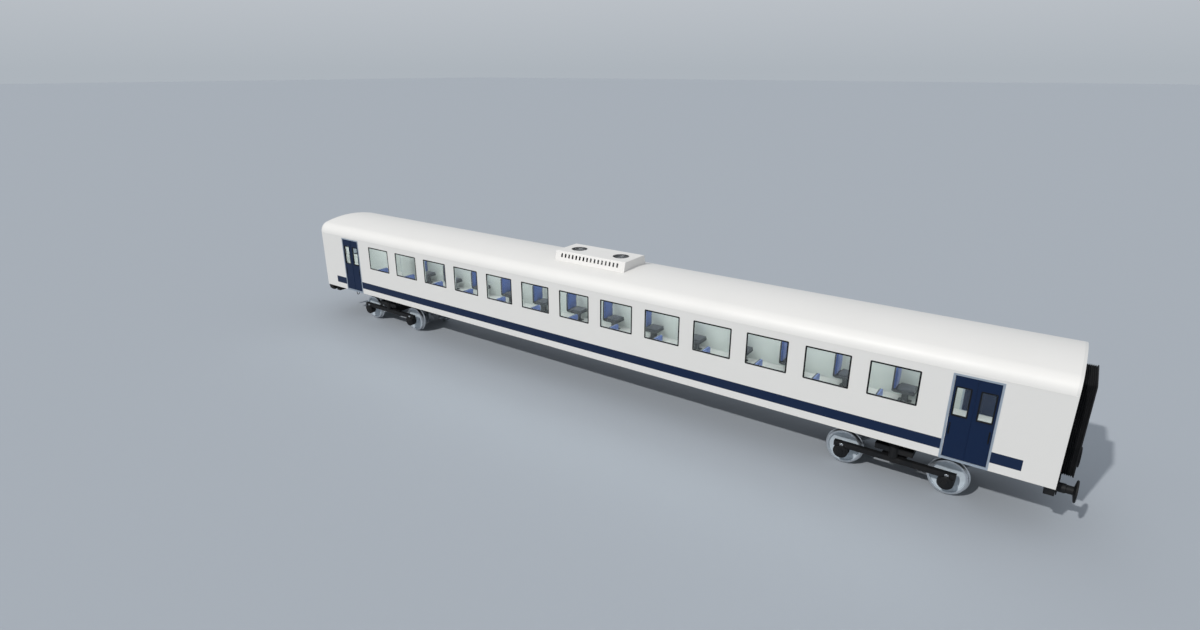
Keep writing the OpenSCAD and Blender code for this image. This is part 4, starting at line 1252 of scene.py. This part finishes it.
# %% Brake disc bolts
DISC_BOLTS = 8
DISC_BOLT_RING_R = 0.17
DISC_RIM_R = 0.29
for end in ("front", "rear"):
    for place in ("outer", "inner"):
        axle_at = joint_at["_".join((end, place, "wheel_spin"))]
        corners = cad["_".join((end, place, "axle"))].data.vertices
        disc_face = max(abs(v.co.y) for v in corners
                        if math.hypot(v.co.x - axle_at.x, v.co.z - axle_h) > DISC_RIM_R)
        spots = [(Vector((axle_at.x + DISC_BOLT_RING_R * math.cos(turn), outward * disc_face,
                          axle_h + DISC_BOLT_RING_R * math.sin(turn))), (0, outward, 0))
                 for turn in angles(DISC_BOLTS) for outward in (-1, 1)]
        bolts("_".join((end, place, "disc_bolts")), "_".join((end, place, "wheelset")), spots, 0.010, 0.012,
              bright_steel)
print("brake disc face at y", round(disc_face, 3))

# %% [markdown]
# ## Underframe fittings
# Battery boxes have two lift-off doors each, with hinges above and a latch below. Air tanks hang in steel
# straps. Buffers are bolted to the headstock, and the draw hook carries a screw coupling whose links hang
# free when the coach stands alone.

# %% Battery box doors and tank straps
doors, latches, hinges = bmesh.new(), bmesh.new(), bmesh.new()
for low, high in solids("battery_boxes"):
    outward, face_y = outer_face(low, high)
    half_run = (high.x - low.x) / 4
    for x in (low.x + half_run, low.x + 3 * half_run):
        at = Vector((x, 0, (low.z + high.z) / 2))
        place = on_side(at, face_y, outward)
        panel_outline = rounded(half_run - 0.03, (high.z - low.z) / 2 - 0.025, 0.015)
        skin_into(doors, [[place(u * k, v * k, d) for u, v in panel_outline]
                          for k, d in ((1, 0.0), (1, 0.006), (0.985, 0.009))], closed=False)
        for dx in (-0.2, 0.2):
            lathe_into(hinges, [(-0.035, 0.007), (0.035, 0.007)], place(dx, 0.105, 0.012), (1, 0, 0), 10)
        lathe_into(latches, [(0.009, 0.02), (0.014, 0.02), (0.016, 0.016)], place(0, -0.06, 0),
                   (0, outward, 0), 20)
        box_into(latches, *[Vector(map(f, place(-0.004, -0.075, 0.015), place(0.004, -0.045, 0.020)))
                            for f in (min, max)])
piece("battery_doors", doors, "coach", black_paint)
piece("battery_hinges", hinges, "coach", axle_steel)
piece("battery_latches", latches, "coach", bright_steel)
straps = bmesh.new()
STRAP_W = 0.04
for low, high in solids("air_tanks"):
    centre_y, centre_z, radius = (low.y + high.y) / 2, (low.z + high.z) / 2, (high.z - low.z) / 2
    for share in (0.15, 0.5, 0.85):
        x = low.x + (high.x - low.x) * share
        lathe_into(straps, [(-STRAP_W / 2, radius - 0.01), (-STRAP_W / 2, radius + 0.003),
                            (STRAP_W / 2, radius + 0.003), (STRAP_W / 2, radius - 0.01)],
                   (x, centre_y, centre_z), (1, 0, 0), 40)
piece("tank_straps", straps, "coach", axle_steel, smooth=40)
print("battery doors and tank straps")

# %% Buffer bolts and screw couplings
COUPLING_X = 13.13
HOOK_Z = 1.10
FLANGE_X = 13.08
FLANGE_BOLT_INSET = 0.022
SCREW_Z = 0.78
NUT_ZS = (0.875, 0.675)
LINK_WIRE_R = 0.014
LINK_HALF_W = 0.055
UPPER_LINK_Z = HOOK_Z - 0.09
LOWER_LINK_Z = 0.56
coupling, buffer_spots = bmesh.new(), []
for low, high in solids("buffers"):
    sign, y = math.copysign(1, low.x), (low.y + high.y) / 2
    buffer_z = (low.z + high.z) / 2
    flange = [v.co for v in cad["buffers"].data.vertices
              if abs(abs(v.co.x) - FLANGE_X) < 0.002 and abs(v.co.y - y) < 0.2]
    reach = max((abs(co.y - y) for co in flange), default=0.15) - FLANGE_BOLT_INSET
    buffer_spots += [(Vector((sign * FLANGE_X, y + dy * reach, buffer_z + dz * reach)), (sign, 0, 0))
                     for dy in (-1, 1) for dz in (-1, 1)]
bolts("buffer_bolts", "coach", buffer_spots, 0.013, 0.014)
for sign in (-1, 1):
    x = sign * COUPLING_X
    upper = [Vector((x, u, UPPER_LINK_Z + v)) for u, v in rounded(LINK_HALF_W, 0.155, 0.05)]
    tube_into(coupling, upper, LINK_WIRE_R, 12, closed=True)
    thread = [(-0.11 + 0.01 * i, 0.018 if i % 2 else 0.022) for i in range(23)]
    lathe_into(coupling, thread, (x, 0, SCREW_Z), (0, 0, 1), 16)
    for nut_z in NUT_ZS:
        lathe_into(coupling, [(-0.075, 0.017), (-0.06, 0.022), (0.06, 0.022), (0.075, 0.017)],
                   (x, 0, nut_z), (0, 1, 0), 16)
    lower = [Vector((x, u, LOWER_LINK_Z + v)) for u, v in rounded(LINK_HALF_W, 0.13, 0.05)]
    tube_into(coupling, lower, LINK_WIRE_R, 12, closed=True)
piece("screw_couplings", coupling, "coach", black_paint, smooth=40)
print(len(buffer_spots), "buffer bolts, two screw couplings")

# %% [markdown]
# ## End wall fittings
# Each end has two red tail lamps beside the gangway. A lens and its rubber bezel are both turned shapes.

# %% Tail lamps
LAMP_Y, LAMP_Z = 1.12, 1.62
for end, sign in ENDS:
    lamps, bezels = bmesh.new(), bmesh.new()
    for outward in (-1, 1):
        at = (sign * body_end, outward * LAMP_Y, LAMP_Z)
        lathe_into(bezels, [(0, 0.075), (0.016, 0.072), (0.020, 0.066), (0.012, 0.060), (0.006, 0.055)],
                   at, (sign, 0, 0), 40)
        lathe_into(lamps, [(0.004, 0.059), (0.014, 0.055), (0.022, 0.040), (0.026, 0.015)], at,
                   (sign, 0, 0), 40)
    piece(end + "_lamp_bezels", bezels, "coach", gasket, smooth=30)
    piece(end + "_tail_lamps", lamps, "coach", lamp_red, smooth=60)
print("lamps at both ends")
